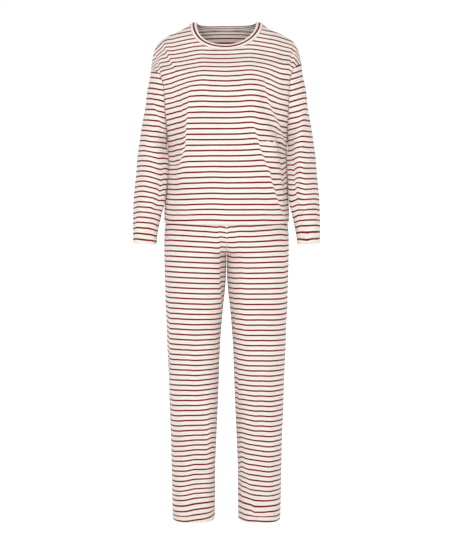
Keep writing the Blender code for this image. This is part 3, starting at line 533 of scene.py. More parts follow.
TROUSER_SAG = {
    LEFT: columns(
        "height 0 6 14 19 22.5 28 35 40 46 60 89 115 138 160 163 165.5 172",
        (-340, 5.9, 3.9, 2.7, 1.4, 2.8, 3, 2.8, 2.5, 2, 1, 0, -1.2, -1.5, -1.3, -0.8, -0.3, 1),
        (-588, 5.9, 3.9, 2.7, 1.4, 2.8, 3, 2.8, 2.5, 2, 1, 0, -1.2, -1.5, -1.3, -0.8, -0.3, 1),
        (-620, 3.4, 2.6, 0.7, 0.7, 1.9, 2, 2, 1.8, 1.4, 1, 0, -1.1, -1.5, -1.3, -0.8, -0.4, 1),
        (-650, 3.3, 2.3, 1.2, 1.4, 2.3, 2.6, 2.3, 2.1, 1.8, 1.2, 0, -1, -1.5, -1.2, -0.8, -0.5, 1),
        (-692, 4, 3.8, 2.3, 2.9, 4.5, 3.9, 3.2, 2.7, 2.1, 1.3, 0, -0.9, -1.3, -1, -0.9, -0.8, 0.5),
        (-740, 1.5, 1.1, -1, -0.5, 3.1, 2.5, 1.9, 1.5, 1.2, 0.7, -0.4, -1.3, -1.7, -1, -0.8, -0.6,
         0),
        (-768, -1, -2, -1.9, 3, 2.9, 2, 1.4, 1.2, 1, 0.6, -0.4, -1.3, -1.8, -1, -0.8, -0.8, -1),
        (-797, -5, -5, -3, 1.6, 1.5, 1.4, 1.2, 1.2, 1, 0.6, -0.5, -1.2, -1.9, -1, -0.9, -1.5, -1.9),
        (-857, 2.5, 2.5, 2.8, 2, 1.5, 1.3, 1.1, 0.7, 0.3, -0.5, -0.4, -1.5, -2, -0.7, -0.8, -3, -4),
        (-917, 0, 0, 0.5, 0.6, 0.6, 0.6, 0.6, 0.1, -0.3, -0.6, -0.1, -1.6, -1.7, -0.9, -1.2, -5.1,
         -5),
        (-976, 2, 2, 2.5, 2.5, 1.6, 0.2, -0.5, -0.3, -0.7, -0.8, 0, -1.8, -1.3, 0.4, -0.3, -5.9,
         -6.3),
        (-1035, 4, 4, 4, 4, 2.2, -0.6, -1.5, -2.1, -2.1, -1.9, 0, -1.3, 0, 2.5, 3, -8, -9),
        (-1094, 4, 4, 4, 4, 3.5, 0.7, -2, -2.6, -4, -2.4, 0, -0.8, 1.3, 3.8, 2.6, -8, -9),
        (-1153, 5.5, 5.5, 5.5, 5.5, 5.5, 5.3, -2.6, -3.1, -4.7, -1.5, 0, 0, 2.8, 5.8, 6, -2, -4),
        (-1225, 3, 3, 3, 3, 3, 3, -0.4, -4.6, -5.6, -1.4, -1.2, 1.3, 3.8, 9.2, 8.5, 7, 5),
        (-1284, 1, 1, 1, 1, 1, 1, -0.9, -2.1, -2.9, -2.3, -2.2, 2.3, 4.2, 9, 9.3, 9, 7.5),
        (-1341, 3, 3, 3, 3, 3, 3, 2.3, -0.5, -2.1, -4.2, -3, 2.2, 6.2, 9.7, 8.5, 7, 6),
        (-1403, 0, 0, 0, 0, 0, 0, -1.8, -4.5, -7, -7.5, -4.5, 1.2, 4.2, 8, 7.5, 7, 6),
        (-1434, -8, -8, -8, -8, -8, -8, -8, -8, -7, -5, -1.2, 2.7, 3.5, 5.7, 5, 4, 2),
    ),
    RIGHT: columns(
        "height 0 12 16 20 23 26 29 33 38 42 47 55 69 84 98 127 141 155 163 172",
        (-340, 5.5, 2.5, 2.5, 2.4, 2.2, 1.7, 1.2, 0.8, 0.4, 0.3, 0.5, 0.8, 1, 0.3, -0.5, -2, -3,
         -2, 0, 1.5),
        (-588, 6.5, 2.5, 2.5, 2.4, 2.2, 1.7, 1.2, 0.8, 0.3, 0.2, 0.3, 0.5, 0.7, 0, -0.7, -2, -3,
         -2.8, -1, 1.5),
        (-650, 1.7, 1.9, 2.5, 2.7, 2.6, 2.3, 1.8, 1.4, 0.7, 1.1, 1, 1, 1, 0.6, 0.3, -0.5, -0.8,
         -0.3, 0.5, 0),
        (-692, 4, 4, 3.6, 3.1, 3, 2.7, 2.3, 1.8, 1.2, 0.8, 0.9, 1.2, 1, 0.6, 0.5, 0, 0.3, 1, 1.5,
         0.5),
        (-740, 3.3, 3.2, 2.8, 3, 2.8, 2.5, 2.1, 1.5, 1, 0.6, 0.6, 0.8, 1, 0.8, 0.8, 1, 1, 2, 2, 1),
        (-797, 5, 2, 1.2, 1.8, 2, 1.8, 1.3, 0.7, 0.2, 0.2, 0.4, 0.7, 0.7, 0.4, 0.3, 1, 1.5, 2, 2,
         2),
        (-857, 5, 4.5, 2.6, -0.2, -1.6, -0.6, 0.3, -0.3, -0.5, -0.4, 0.2, 0.8, 0.6, 0.2, 0, 1.3,
         2, 2.7, 2.8, 3.5),
        (-917, 8, 8, 6, 3.3, -0.5, -2.3, -1.7, -1.1, -1.2, -0.6, -0.1, 0.6, 0.6, 0.3, 0.1, 1.4, 2,
         2.7, 4.2, 5.4),
        (-976, 7, 7, 7, 6.6, 3.2, -1.6, -3, -1.2, -0.7, -0.5, -0.5, 0.3, 0.6, 0.3, 0.3, 1.5, 2.1,
         2.6, 3.7, 4.8),
        (-1035, 6, 6, 6, 6, 3.3, -0.4, -3.2, -3.3, 0, -0.4, -1, -0.8, 0, 0.5, 0.3, 2.1, 2.6, 2.8,
         4.2, 6),
        (-1094, 6, 6, 6, 6, 5, 1.3, -1.5, -2.8, -0.7, -1.2, -2.1, -1.8, -0.7, 0.7, 0.3, 2.7, 3, 3,
         4.2, 4.5),
        (-1153, 4, 4, 4, 4, 4, 3, 1.2, -0.8, -2.8, -3.8, -4.6, -3.6, -1.6, 0.7, 0.3, 2.7, 3.3, 4,
         5.2, 5),
        (-1225, 2, 2, 2, 2, 2, 2, 2, -0.7, -2.6, -6.5, -7.3, -5.4, -3.8, -1, 1.5, 4, 4, 5, 5.8, 5),
        (-1284, 2, 2, 2, 2, 2, 2, 2, 1.5, 2, -3.4, -7.6, -5.2, -2.9, -0.6, 1.7, 4.5, 3.7, 5, 5.5,
         5),
        (-1341, -4, -4, -4, -4, -4, -4, -4, -6, -10, -11, -7.8, -7, -1.4, 1.4, 3.1, 4.7, 4.2, 5,
         4, 3),
        (-1403, 1, 1, 1, 1, 1, 1, 0, -1, -3.5, -6, -5, -3.9, -2, 4.2, 4.3, 2.2, 3, 4, 3, 2),
        (-1434, 2.5, 2.5, 2.5, 2.5, 2.5, 2.5, 2.5, 2.5, 1.2, -0.5, -0.2, 0.3, 0.8, 1.5, 2.4, 3.2,
         4.9, 6, 5, 4),
    ),
}


def sag(table, x, height):
    """How many millimetres lower the stripes run at each place across and down."""
    across = np.array([float(name) for name in list(table)[1:]])
    rows = [
        glide({"x": across, "sag": np.array(row[1:])}, "sag", x) for row in zip(*table.values())
    ]
    heights = table["height"]
    place = np.interp(-height, -heights, np.arange(len(heights)))
    k = np.minimum(place.astype(int), len(heights) - 2)
    share = smooth_step(place - k)
    rows = np.array(rows)
    low = np.take_along_axis(rows, k[None], axis=0)[0]
    high = np.take_along_axis(rows, k[None] + 1, axis=0)[0]
    return low + (high - low) * share


def pinch(x, z, kinks, reach=17.0, power=0.55):
    """Draws the change beside a fold's line together onto the line."""
    for kink in kinks:
        inside = (z <= kink["height"].max()) & (z >= kink["height"].min())
        off = x - glide(kink, "x", z)
        near = inside & (abs(off) < reach)
        drawn = np.sign(off) * reach * (abs(off) / reach) ** power
        x = np.where(near, x - off + drawn, x)
    return x


def both_sags(tables, x, height):
    """The sag on either side of the middle, each from its own table."""
    return np.where(x < 0, sag(tables[LEFT], -x, height), sag(tables[RIGHT], x, height))


def top_count(x, z, face):
    """The count of stripes at each point of the trunk."""
    table = TOP_STRIPES if face == FRONT else BACK_STRIPES
    lean = pinch(x, z, TOP_KINKS) if face == FRONT else x
    height = z
    for _ in range(SAG_ROUNDS):
        if face == FRONT:
            lower = both_sags(TOP_SAG, lean, height)
        else:
            edge = both_sags(TOP_SAG, np.sign(x) * np.maximum(abs(x), BACK_SAG_FROM), height)
            lower = edge * np.clip(abs(x) / BACK_SAG_WIDTH, 0, 1) ** BACK_SAG_POWER
        height = z + lower
    return glide(table, "count", height)


def trousers_count(x, z):
    """The count of stripes at each point of the legs and the seat."""
    height = z
    for _ in range(SAG_ROUNDS):
        height = z + both_sags(TROUSER_SAG, x, height)
    return glide(TROUSER_STRIPES, "count", height)


print("stripes down the front of the top:", int(TOP_STRIPES["count"][-3]))

# %% [markdown]
# ## The jersey
# Plain jersey is rows of small loops: each column of loops, a wale, shows as a fine upright cord,
# and each row, a course, as a fine step. The colour is darkened in the hollows between the loops,
# as painted shade. The stripe is a run of courses in another yarn, so its edge is soft and a little
# ragged. The material works in the cloth's own measure, from a UV map whose U is millimetres
# across and whose V is the stripe count, so the pattern bends with every fold. Cotton scatters
# light at its fuzz, which the sheen stands for.

# %% The jersey material
WALES = 13  # columns of loops in one stripe repeat of width
COURSES = 18  # rows of loops in one stripe repeat
CREAM = (0.85, 0.78, 0.71)
RED = (0.185, 0.010, 0.0175)
LOOP_BOW = 0.45  # how much later a loop's flanks come than its middle, in courses
RAGGEDNESS = 0.035  # how far a stripe's edge wanders, in stripe repeats
STRIPE_EDGE = (0.012, 0.02)  # how far the edge fades to either side, in stripe repeats


class Recipe:
    """Builds a material's nodes from short calls."""

    def __init__(self, name):
        self.material = bpy.data.materials.new(name)
        self.material.use_nodes = True
        self.tree = self.material.node_tree
        self.shader = self.tree.nodes["Principled BSDF"]

    def feed(self, socket, value):
        if isinstance(value, bpy.types.NodeSocket):
            self.tree.links.new(value, socket)
        elif value is not None:
            socket.default_value = value

    def surface(self, inputs):
        """Sets or links the shader's own inputs."""
        for name, value in inputs.items():
            self.feed(self.shader.inputs[name], value)

    def add(self, kind, inputs, output=0, **settings):
        node = self.tree.nodes.new(kind)
        for key, value in settings.items():
            setattr(node, key, value)
        for key, value in inputs.items():
            self.feed(node.inputs[key], value)
        return node.outputs[output]

    def maths(self, operation, first, second=None):
        return self.add("ShaderNodeMath", {0: first, 1: second}, operation=operation)

    def mix(self, share, first, second, blend="MIX"):
        node = self.tree.nodes.new("ShaderNodeMix")
        node.data_type = "RGBA"
        node.blend_type = blend
        for key, value in {0: share, 6: first, 7: second}.items():
            self.feed(node.inputs[key], value)
        return node.outputs[2]

    def ramp(self, value, low, high, to_low=0.0, to_high=1.0):
        sizes = {1: low, 2: high, 3: to_low, 4: to_high}
        return self.add("ShaderNodeMapRange", {0: value, **sizes}, interpolation_type="SMOOTHSTEP")

    def split(self, vector):
        """The X, Y and Z of a vector."""
        node = self.tree.nodes.new("ShaderNodeSeparateXYZ")
        self.tree.links.new(vector, node.inputs[0])
        return node.outputs


def jersey(name, stripe_width=0.31, mid_line_and_painted_shade=0.055):
    """Striped jersey that reads the UV map named weave."""
    recipe = Recipe(name)
    weave = recipe.add("ShaderNodeUVMap", {}, uv_map="weave")
    across, count, _ = recipe.split(weave)
    place = recipe.add("ShaderNodeTexCoord", {}, output="Object")

    wale = recipe.maths("FRACT", recipe.maths("MULTIPLY", across, WALES))
    from_wale = recipe.maths("ABSOLUTE", recipe.maths("SUBTRACT", wale, 0.5))
    from_wale = recipe.maths("MULTIPLY", from_wale, 2.0)
    loop = recipe.maths("MULTIPLY", count, COURSES)
    loop = recipe.maths("ADD", loop, recipe.maths("MULTIPLY", from_wale, LOOP_BOW))
    ridge = recipe.maths("SINE", recipe.maths("MULTIPLY", loop, 2 * math.pi))
    ridge = recipe.maths("ADD", recipe.maths("MULTIPLY", ridge, 0.25), 0.75)
    rounded = recipe.maths("SUBTRACT", 1.0, recipe.maths("POWER", from_wale, 2.0))
    knit = recipe.maths("MULTIPLY", rounded, ridge)

    ragged = recipe.add("ShaderNodeTexNoise", {"Vector": weave, "Scale": 9.0, "Detail": 3.0})
    wander = recipe.maths("MULTIPLY", recipe.maths("SUBTRACT", ragged, 0.5), RAGGEDNESS)
    stripe = recipe.maths("FRACT", recipe.maths("ADD", recipe.maths("ADD", count, 0.5), wander))
    from_red = recipe.maths("ABSOLUTE", recipe.maths("SUBTRACT", stripe, 0.5))
    half = stripe_width / 2
    red = recipe.ramp(from_red, half - STRIPE_EDGE[0], half + STRIPE_EDGE[1], 1.0, 0.0)
    # Darker midway between the stripes: a faint line in the knit, and on the neckband, where it is
    # stronger, partly painted shade.
    between = recipe.ramp(from_red, 0.33, 0.45, 0.0, mid_line_and_painted_shade)

    mottle = recipe.add("ShaderNodeTexNoise", {"Vector": place, "Scale": 26.0, "Detail": 4.0})
    fibre = recipe.add("ShaderNodeTexNoise", {"Vector": place, "Scale": 1400.0, "Detail": 2.0})
    tone_and_painted_shade = recipe.ramp(mottle, 0.3, 0.7, 0.965, 1.01)
    tone_and_painted_shade = recipe.maths("ADD", tone_and_painted_shade, recipe.ramp(fibre, 0.3, 0.7, -0.035, 0.03))
    # Painted shade: the colour darkens in the hollows between the loops, where the knit's relief is
    # low.
    tone_and_painted_shade = recipe.maths("MULTIPLY", tone_and_painted_shade, recipe.ramp(knit, 0.0, 0.6, 0.86, 1.0))
    tone_and_painted_shade = recipe.maths("SUBTRACT", tone_and_painted_shade, between)
    grey = recipe.add("ShaderNodeCombineColor", {0: tone_and_painted_shade, 1: tone_and_painted_shade, 2: tone_and_painted_shade})
    relief = recipe.maths("ADD", knit, recipe.maths("MULTIPLY", fibre, 0.35))
    bump = {"Height": relief, "Strength": 0.4, "Distance": 0.0003}
    recipe.surface({
        "Base Color": recipe.mix(1.0, recipe.mix(red, (*CREAM, 1), (*RED, 1)), grey, "MULTIPLY"),
        "Normal": recipe.add("ShaderNodeBump", bump),
        "Roughness": recipe.ramp(fibre, 0.3, 0.7, 0.86, 0.95),
        "Specular IOR Level": 0.12,
        "Sheen Weight": 0.15,
        "Sheen Roughness": 0.5,
        "Subsurface Weight": 0.3,
        "Subsurface Radius": (1.0, 0.75, 0.6),
        "Subsurface Scale": 0.0012,
    })
    return recipe.material


STRIPED = jersey("striped jersey")
# The neckband's darkening between its stripes is stronger; the extra is painted shade where the
# folded band curves down to its seam.
BAND = jersey("neckband jersey", stripe_width=0.27, mid_line_and_painted_shade=0.09)
print("one wale:", round(REPEAT / WALES, 2), "mm, one course:", round(REPEAT / COURSES, 2), "mm")

# %% [markdown]
# ## One piece of cloth
# Each piece is a grid of points on the outside of the cloth. The same grid moved in by the
# thickness is its inside, and rims join the two along the open edges, so the piece is one closed
# body. The two layers come nearer to each other on the very edge, which rounds it. The UV map
# takes the millimetres along each row and the stripe count at each point.

# %% Making a cloth wall
RIM_TUCK = 0.25  # how far each layer draws in at a rim, as a share of the thickness
SHARP_ANGLE = math.radians(60)


def add_object(name, data):
    made = bpy.data.objects.new(name, data)
    bpy.context.scene.collection.objects.link(made)
    return made


def grid_normals(grid, outward, wrap=False):
    """Unit normals of a grid of points, turned to the side where the outward points lie."""
    if wrap:
        along = np.roll(grid, -1, axis=1) - np.roll(grid, 1, axis=1)
    else:
        along = np.gradient(grid, axis=1)
    normals = unit(np.cross(along, np.gradient(grid, axis=0)))
    facing = np.sum(normals * outward, axis=-1)
    return normals * (1 if np.median(facing) > 0 else -1)


def arc(grid, start=0, wrap=False):
    """How far along its row each point is from the start column."""
    ring = np.concatenate([grid, grid[:, :1]], axis=1) if wrap else grid
    steps = np.linalg.norm(np.diff(ring, axis=1), axis=2)
    along = np.concatenate([np.zeros((len(grid), 1)), np.cumsum(steps, axis=1)], axis=1)
    return along - along[:, start : start + 1]


def arc_down(grid):
    """How far down its column each point is from the first row."""
    return arc(grid.transpose(1, 0, 2)).T


def from_sides(grid):
    """How far each point is from the nearer end of its row."""
    return np.minimum(arc(grid), arc(grid[:, ::-1])[:, ::-1])


def quads(index):
    """The four corners of each cell of a grid."""
    corners = [index[:-1, :-1], index[:-1, 1:], index[1:, 1:], index[1:, :-1]]
    return np.stack(corners, axis=-1).reshape(-1, 4)


def rims(index, wrap):
    """Pairs of points along the open edges, each pair in the way round that closes the wall."""
    pairs = [(index[0, 1:], index[0, :-1]), (index[-1, :-1], index[-1, 1:])]
    if not wrap:
        pairs += [(index[:-1, 0], index[1:, 0]), (index[1:, -1], index[:-1, -1])]
    return np.concatenate([np.stack(pair, axis=-1) for pair in pairs])


def cloth(name, outer, normals, thickness, across, count, material, wrap=False):
    """One closed wall of cloth with its UV map."""
    rows, cols = outer.shape[:2]
    depth = np.array(np.broadcast_to(np.reshape(thickness, (-1, 1)), (rows, cols)), float)
    edge = np.zeros((rows, cols), bool)
    edge[[0, -1]] = True
    if not wrap:
        edge[:, [0, -1]] = True
    inset = np.where(edge, depth * RIM_TUCK, 0)[..., None]
    outer = outer - normals * inset
    inner = outer - normals * (depth[..., None] - 2 * inset)
    points = np.concatenate([outer.reshape(-1, 3), inner.reshape(-1, 3)]) * MM

    # Faces of both layers and the rims between them, as places in the list of points. Where a
    # tube closes, the UV map needs a last column of its own, so it has its own list of places.
    index = np.arange(rows * cols).reshape(rows, cols)
    if wrap:
        index = np.concatenate([index, index[:, :1]], axis=1)
        count = np.concatenate([count, count[:, :1]], axis=1)
    place = np.arange(index.size).reshape(index.shape)
    weave = np.stack(np.broadcast_arrays(across / REPEAT, count), axis=-1).reshape(-1, 2)
    inside = rows * cols
    outside_faces, rim = quads(index), rims(index, wrap)
    rim_faces = np.concatenate([rim, rim[:, ::-1] + inside], axis=1)
    faces = np.concatenate([outside_faces, outside_faces[:, ::-1] + inside, rim_faces])
    outside_places, rim_place = quads(place), rims(place, wrap)
    rim_places = np.concatenate([rim_place, rim_place[:, ::-1]], axis=1)
    places = np.concatenate([outside_places, outside_places[:, ::-1], rim_places])

    # A body that faces inwards has a negative volume, and is turned.
    corners = points[faces]
    volume = np.einsum("ij,ij->", corners[:, 0], np.cross(corners[:, 1], corners[:, 2]))
    volume += np.einsum("ij,ij->", corners[:, 0], np.cross(corners[:, 2], corners[:, 3]))
    if volume < 0:
        faces, places = faces[:, ::-1], places[:, ::-1]

    mesh = bpy.data.meshes.new(name)
    mesh.from_pydata(points.tolist(), [], faces.tolist())
    layer = mesh.uv_layers.new(name="weave")
    layer.data.foreach_set("uv", weave[places].astype(np.float32).ravel())
    mesh.materials.append(material)
    mesh.shade_smooth()
    mesh.set_sharp_from_angle(angle=SHARP_ANGLE)
    print(f"{name}: {2 * len(faces)} triangles")
    return add_object(name, mesh)


def dress(piece, node):
    """The piece stands for a plain wall and moves with the garment."""
    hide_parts(node)
    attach(piece, "root")
    return piece


# %% [markdown]
# Hems are turned up inside and held by two rows of stitches. The turned-up layer makes the cloth
# a little thicker, it puffs out slightly between the edge and the stitches, and each row of
# stitches pulls it in. At a seam the two pieces are pulled in together, which leaves a soft
# groove. Both are small lifts, added to the folds and creases.

# %% Hems, seams and shared directions
HEM_ROWS = np.array([0, 0.5, 1.5, 4, 8, 12, 15, 16.2, 17, 17.8, 19.2, 20, 20.8, 23, 27])
STITCH_HEIGHTS = (17.0, 20.0)
HEM_PROFILE = columns(
    "at width lift",
    (9, 5, 0.35), (0, 1.2, -0.3), *((height, 0.8, -0.4) for height in STITCH_HEIGHTS),
)  # it puffs out above its edge, rounds off at it, and dips where it is stitched
HEM_TURN_UP = 22.0  # where the turned-up layer ends
HEM_STEP = 3.0  # and over what height the cloth gets thinner below that
SEAM_DIP = 0.45  # how deep the groove at a seam is
SEAM_DIP_WIDTH = 1.8
SEAM_CALM = 25.0  # how far from the side seams' plane the creases are full


def hem_lift(above):
    """The profile of a hem, by the distance above its edge."""
    bumps = zip(*HEM_PROFILE.values())
    return sum(lift * np.exp(-(((above - at) / width) ** 2)) for at, width, lift in bumps)


def hem_thickness(above):
    return CLOTH + (HEM_CLOTH - CLOTH) * smooth_step((HEM_TURN_UP - above) / HEM_STEP)


def seam_dip(distance):
    return -SEAM_DIP * np.exp(-((distance / SEAM_DIP_WIDTH) ** 2))


def share_seam(first, second, tuck=0.0):
    """Gives two normals that meet at a seam the direction midway between them."""
    middle = unit(first + second - [0, 0, tuck])
    first[:] = middle
    second[:] = middle


def ease_in(normals, grid, reach):
    """Lets the direction shared along the first column fade in over the columns beside it."""
    distance = arc(grid)[..., None]
    weight = np.exp(-((distance / reach) ** 2))
    normals[:] = unit(normals * (1 - weight) + normals[:, :1] * weight)


def near_seam(depth):
    """Creases flatten out where the front meets the back, at the sides of a piece."""
    return smooth_step(abs(depth) / SEAM_CALM)


# %% [markdown]
# ## The top's front and back
# Both panels are one rule: at each height the cloth stands furthest out in the middle and falls
# back to the plane of the side seams, along a flattened oval. The edge of the panel is the
# shoulder line, then the armhole, then the side seam. The columns of the grid fan out below the
# neckline and the shoulders, so that each edge of the cut is an edge of the grid.

# %% The form of the trunk
EDGE_FAN = 8  # how late the columns near the edge turn to the shoulder's own spacing
EDGE_CALM = 4  # a panel's folds die out in the outer fourth of its turn
SLOPE_STEP = 0.6  # how far to either side a panel's slope is read
JUST_INSIDE = 0.997  # draws those places in a little, so that none is past the edge
FOLDS_BELOW = 50.0  # how far below the shoulder a panel's folds are full
CREASES_BELOW = 16.0  # and its creases


def armhole_way(height, side):
    """How far down the armhole a height is, in degrees from the shoulder tip to the underarm."""
    top, bottom = SHOULDER_TIP_HEIGHT[side], UNDERARM_HEIGHT
    share = (height - (top + bottom) / 2) / ((top - bottom) / 2)
    return np.degrees(np.arccos(np.clip(share, -1, 1)))


def armhole_height(way, side):
    top, bottom = SHOULDER_TIP_HEIGHT[side], UNDERARM_HEIGHT
    return (top + bottom) / 2 + (top - bottom) / 2 * np.cos(np.radians(way))


def sleeve_point(turn, height, side):
    """A point of the sleeve's tube, before its folds. turn is 0 outside and 90 in front."""
    inner = glide(SLEEVE, "inner_left" if side == LEFT else "inner_right", height)
    outer = glide(SLEEVE, "outer", height)
    angle = np.radians(turn)
    x = (outer + inner) / 2 + (outer - inner) / 2 * np.cos(angle)
    y = glide(SLEEVE, "middle", height) - glide(SLEEVE, "front_to_back", height) * np.sin(angle)
    return np.stack(np.broadcast_arrays(side * x, y, height), axis=-1)


def trunk_edge(height, side):
    """Where a trunk panel ends at each height, how far that is from the side seam's plane, and
    how much of the armhole it is."""
    way = armhole_way(height, side)
    on_armhole = sleeve_point(glide(ARMHOLE, "round", way), height, side)
    above = height >= SHOULDER_TIP_HEIGHT[side]
    below = height <= UNDERARM_HEIGHT
    reach = np.where(above, glide(SHOULDER, "half_width", height), abs(on_armhole[..., 0]))
    reach = np.where(below, glide(SIDE, "left" if side == LEFT else "right", height), reach)
    depth = np.where(above | below, 0, np.maximum(0, -on_armhole[..., 1]))
    return reach, depth, np.where(above | below, 0, np.sin(np.radians(way)))


def trunk_depth(across, height, side, face):
    """How far the trunk panel stands out from the side seam's plane, before its folds."""
    reach, edge, in_armhole = trunk_edge(height, side)
    middle = glide(TRUNK, "front" if face == FRONT else "back", height)
    share = np.clip(abs(across) / reach, 0, 1) ** TRUNK_SQUARENESS
    power = 0.5 + 0.5 * SEAM_FLATNESS * in_armhole
    return edge + (middle - edge) * (1 - share) ** power


def trunk_normals(grid, side, face):
    """The way out of the cloth at each point of a trunk panel."""
    x, z, step = abs(grid[..., 0]) * JUST_INSIDE, grid[..., 2], SLOPE_STEP
    slope_x = trunk_depth(x + step, z, side, face) - trunk_depth(x - step, z, side, face)
    slope_z = trunk_depth(x, z + step, side, face) - trunk_depth(x, z - step, side, face)
    return unit(np.stack([-side * slope_x, np.full(x.shape, face * 2 * step), -slope_z], axis=-1))


def neckline(side, face, turn):
    """The neckline from its middle, turn 0, to the shoulder seam, turn 90."""
    angle = np.radians(turn)
    power = 2 / NECK_SQUARENESS[side]
    x = NECK_HALF_WIDTH * np.sin(angle) ** power
    z = -NECK_DROP[face] * np.cos(angle) ** power
    return np.stack([x, z], axis=-1)


def spread_evenly(points, count):
    """count + 1 points at even distances along a line of points."""
    along = np.concatenate([[0], np.cumsum(np.linalg.norm(np.diff(points, axis=0), axis=1))])
    wanted = np.linspace(0, along[-1], count + 1)
    return np.stack([np.interp(wanted, along, axis) for axis in points.T], axis=1)


def half_panel_plan(side, face):
    """One half of a trunk panel seen from the front, as rows from hem to top."""
    even = np.linspace(0, 1, NECK_STEPS + SHOULDER_STEPS + 1)
    lean = 0.5 * np.sin(np.radians(90) * even) + 0.5 * even
    hem = HEM_HEIGHT + HEM_ROWS
    side_heights = np.append(hem, np.linspace(hem[-1], UNDERARM_HEIGHT, SIDE_STEPS)[1:])
    ways = np.linspace(180, 0, ARMHOLE_STEPS + 1)[1:]
    edge_heights = np.append(side_heights, armhole_height(ways, side))
    edge_reach, _, _ = trunk_edge(edge_heights, side)

    neck = neckline(side, face, 90 - 90 * np.linspace(1, 0, NECK_STEPS + 1) ** NECK_CROWDING)
    fine = np.linspace(0, SHOULDER_TIP_HEIGHT[side], 200)
    line = np.stack([glide(SHOULDER, "half_width", fine), fine], axis=-1)
    top = np.concatenate([neck, spread_evenly(line, SHOULDER_STEPS)[1:]])

    rise = ((edge_heights - HEM_HEIGHT) / (edge_heights[-1] - HEM_HEIGHT))[:, None]
    across = edge_reach[0] * lean + (top[:, 0] - edge_reach[0] * lean) * rise**FAN_OUT
    near_edge = lean**4 + ((top[:, 0] / top[-1, 0]) ** 4 - lean**4) * rise**EDGE_FAN
    across += (edge_reach[:, None] - across[:, -1:]) * near_edge
    height = HEM_HEIGHT + rise * (top[:, 1] - HEM_HEIGHT)
    return np.stack([across, height], axis=-1)


def trunk_half(side, face):
    """One half of a panel before its folds, its normals, and how far its large folds lift it."""
    plan = half_panel_plan(side, face)
    x, z = side * plan[..., 0], plan[..., 1]
    grid = np.stack([x, face * trunk_depth(x, z, side, face), z], axis=-1)
    turned = np.degrees(np.arcsin(np.clip(plan[..., 0] / plan[:, -1:, 0], 0, 1))) / 90
    below_top = plan[-1:, :, 1] - z
    fade = smooth_step((1 - turned) * EDGE_CALM) * smooth_step(below_top / FOLDS_BELOW)
    lift = fold_lift(TRUNK_FOLDS[face], x, z) * fade
    return grid, trunk_normals(grid, side, face), lift, smooth_step(below_top / CREASES_BELOW)


def trunk_panel(face):
    """A whole panel from its left edge to its right."""
    left, right = trunk_half(LEFT, face), trunk_half(RIGHT, face)
    joined = [np.concatenate([a[:, :0:-1], b], axis=1) for a, b in zip(left, right)]
    grid = joined[0]
    middle = left[0].shape[1] - 1
    grid[:, middle] = (left[0][:, 0] + right[0][:, 0]) / 2
    shoulder = np.r_[: SHOULDER_STEPS + 1, -SHOULDER_STEPS - 1 : 0]
    below = grid[:, 0, 2] <= UNDERARM_HEIGHT + 1e-6
    grid[below, 0, 1] = grid[below, -1, 1] = face * SEAM_GAP / 2
    grid[-1, shoulder, 1] = face * SEAM_GAP / 2
    return joined


FRONT_PANEL, BACK_PANEL = trunk_panel(FRONT), trunk_panel(BACK)
print("trunk panels:", FRONT_PANEL[0].shape[1], "columns by", FRONT_PANEL[0].shape[0], "rows")

# %% [markdown]
# ## The sleeves
# A sleeve is a tube that starts at the slanting armhole and is level at the cuff. Its lines run
# round the arm from the underarm seam, through the front or the back, to the outside. They start
# where the armhole has them and even out on the way down.

# %% The form of a sleeve
SLEEVE_CROWDING = 1.1  # above 1, the rows lie closer near the armhole
SLEEVE_CALM = 5  # a sleeve's folds set in over the first fifth of its rows
LAP = {"top": -338.0, "full_after": 45.0, "end": -590.0, "fades_over": 90.0}  # by height
INNER_SIDE = 45.0  # degrees to either side of the underarm seam that have no folds
UNDERARM_REACH = {"full": 4.0, "fades_over": 12.0}  # how far down the underarm's gap stays open
ARMHOLE_GAP_REACH = 6.0  # how far down the gap at the armhole's seam is taken up


def sleeve(side):
    """A sleeve before its folds: its grid, normals, large folds' lift, turn, and height above
    the cuff."""
    way = np.linspace(-180, 180, 2 * ARMHOLE_STEPS + 1)[:-1]
    start_turn = np.sign(way) * glide(ARMHOLE, "round", abs(way))
    start = armhole_height(abs(way), side)
    end = CUFF_HEIGHT + CUFF_TILT * np.cos(np.radians(way))
    share = np.linspace(0, 1, SLEEVE_STEPS)[:, None] ** SLEEVE_CROWDING
    height = start + (end + HEM_ROWS[-1] - start) * share
    height = np.concatenate([height, end + HEM_ROWS[-2::-1, None]])
    settled = smooth_step(np.append(share, np.ones(len(HEM_ROWS) - 1))[:, None] / SLEEVE_SETTLE)
    turn = start_turn + (way - start_turn) * settled
    grid = sleeve_point(turn, height, side)
    hanging = smooth_step((LAP["top"] - height) / LAP["full_after"])
    hanging = hanging * smooth_step((height - LAP["end"]) / LAP["fades_over"])
    forward = glide(SLEEVE, "middle", height) - grid[..., 1]
    inward = SLEEVE_WRAP[side] * smooth_step(forward / SLEEVE_WRAP_DEPTH)
    grid[..., 0] -= side * hanging * inward * np.clip(abs(turn) / 90, 0, 1)
    outward = unit((grid - grid.mean(axis=1, keepdims=True)) * [1, 1, 0])
    fade = smooth_step(np.linspace(0, 1, grid.shape[0])[:, None] * SLEEVE_CALM)
    round_arm = np.where(turn < 0, turn + 360, turn)
    inner_side = np.exp(-(((abs(turn) - 180) / INNER_SIDE) ** 2))
    lift = sleeve_fold_lift(round_arm, height) * fade * (1 - inner_side)
    normals = grid_normals(grid, outward, wrap=True)

    round_seam = unit(np.roll(grid[0], -1, axis=0) - np.roll(grid[0], 1, axis=0))
    down = grid[1] - grid[0]
    down = unit(down - round_seam * np.sum(down * round_seam, axis=1, keepdims=True))
    under = smooth_step((abs(way) - 90) / 90)
    below_seam = arc_down(grid)
    past = np.maximum(0, below_seam - UNDERARM_REACH["full"])
    clear = np.exp(-past / UNDERARM_REACH["fades_over"])
    grid = grid + down * (ARMHOLE_GAP * np.exp(-below_seam / ARMHOLE_GAP_REACH))[..., None]
    grid[..., 0] += side * UNDERARM_GAP * under * clear
    return grid, normals, lift, turn, height - end


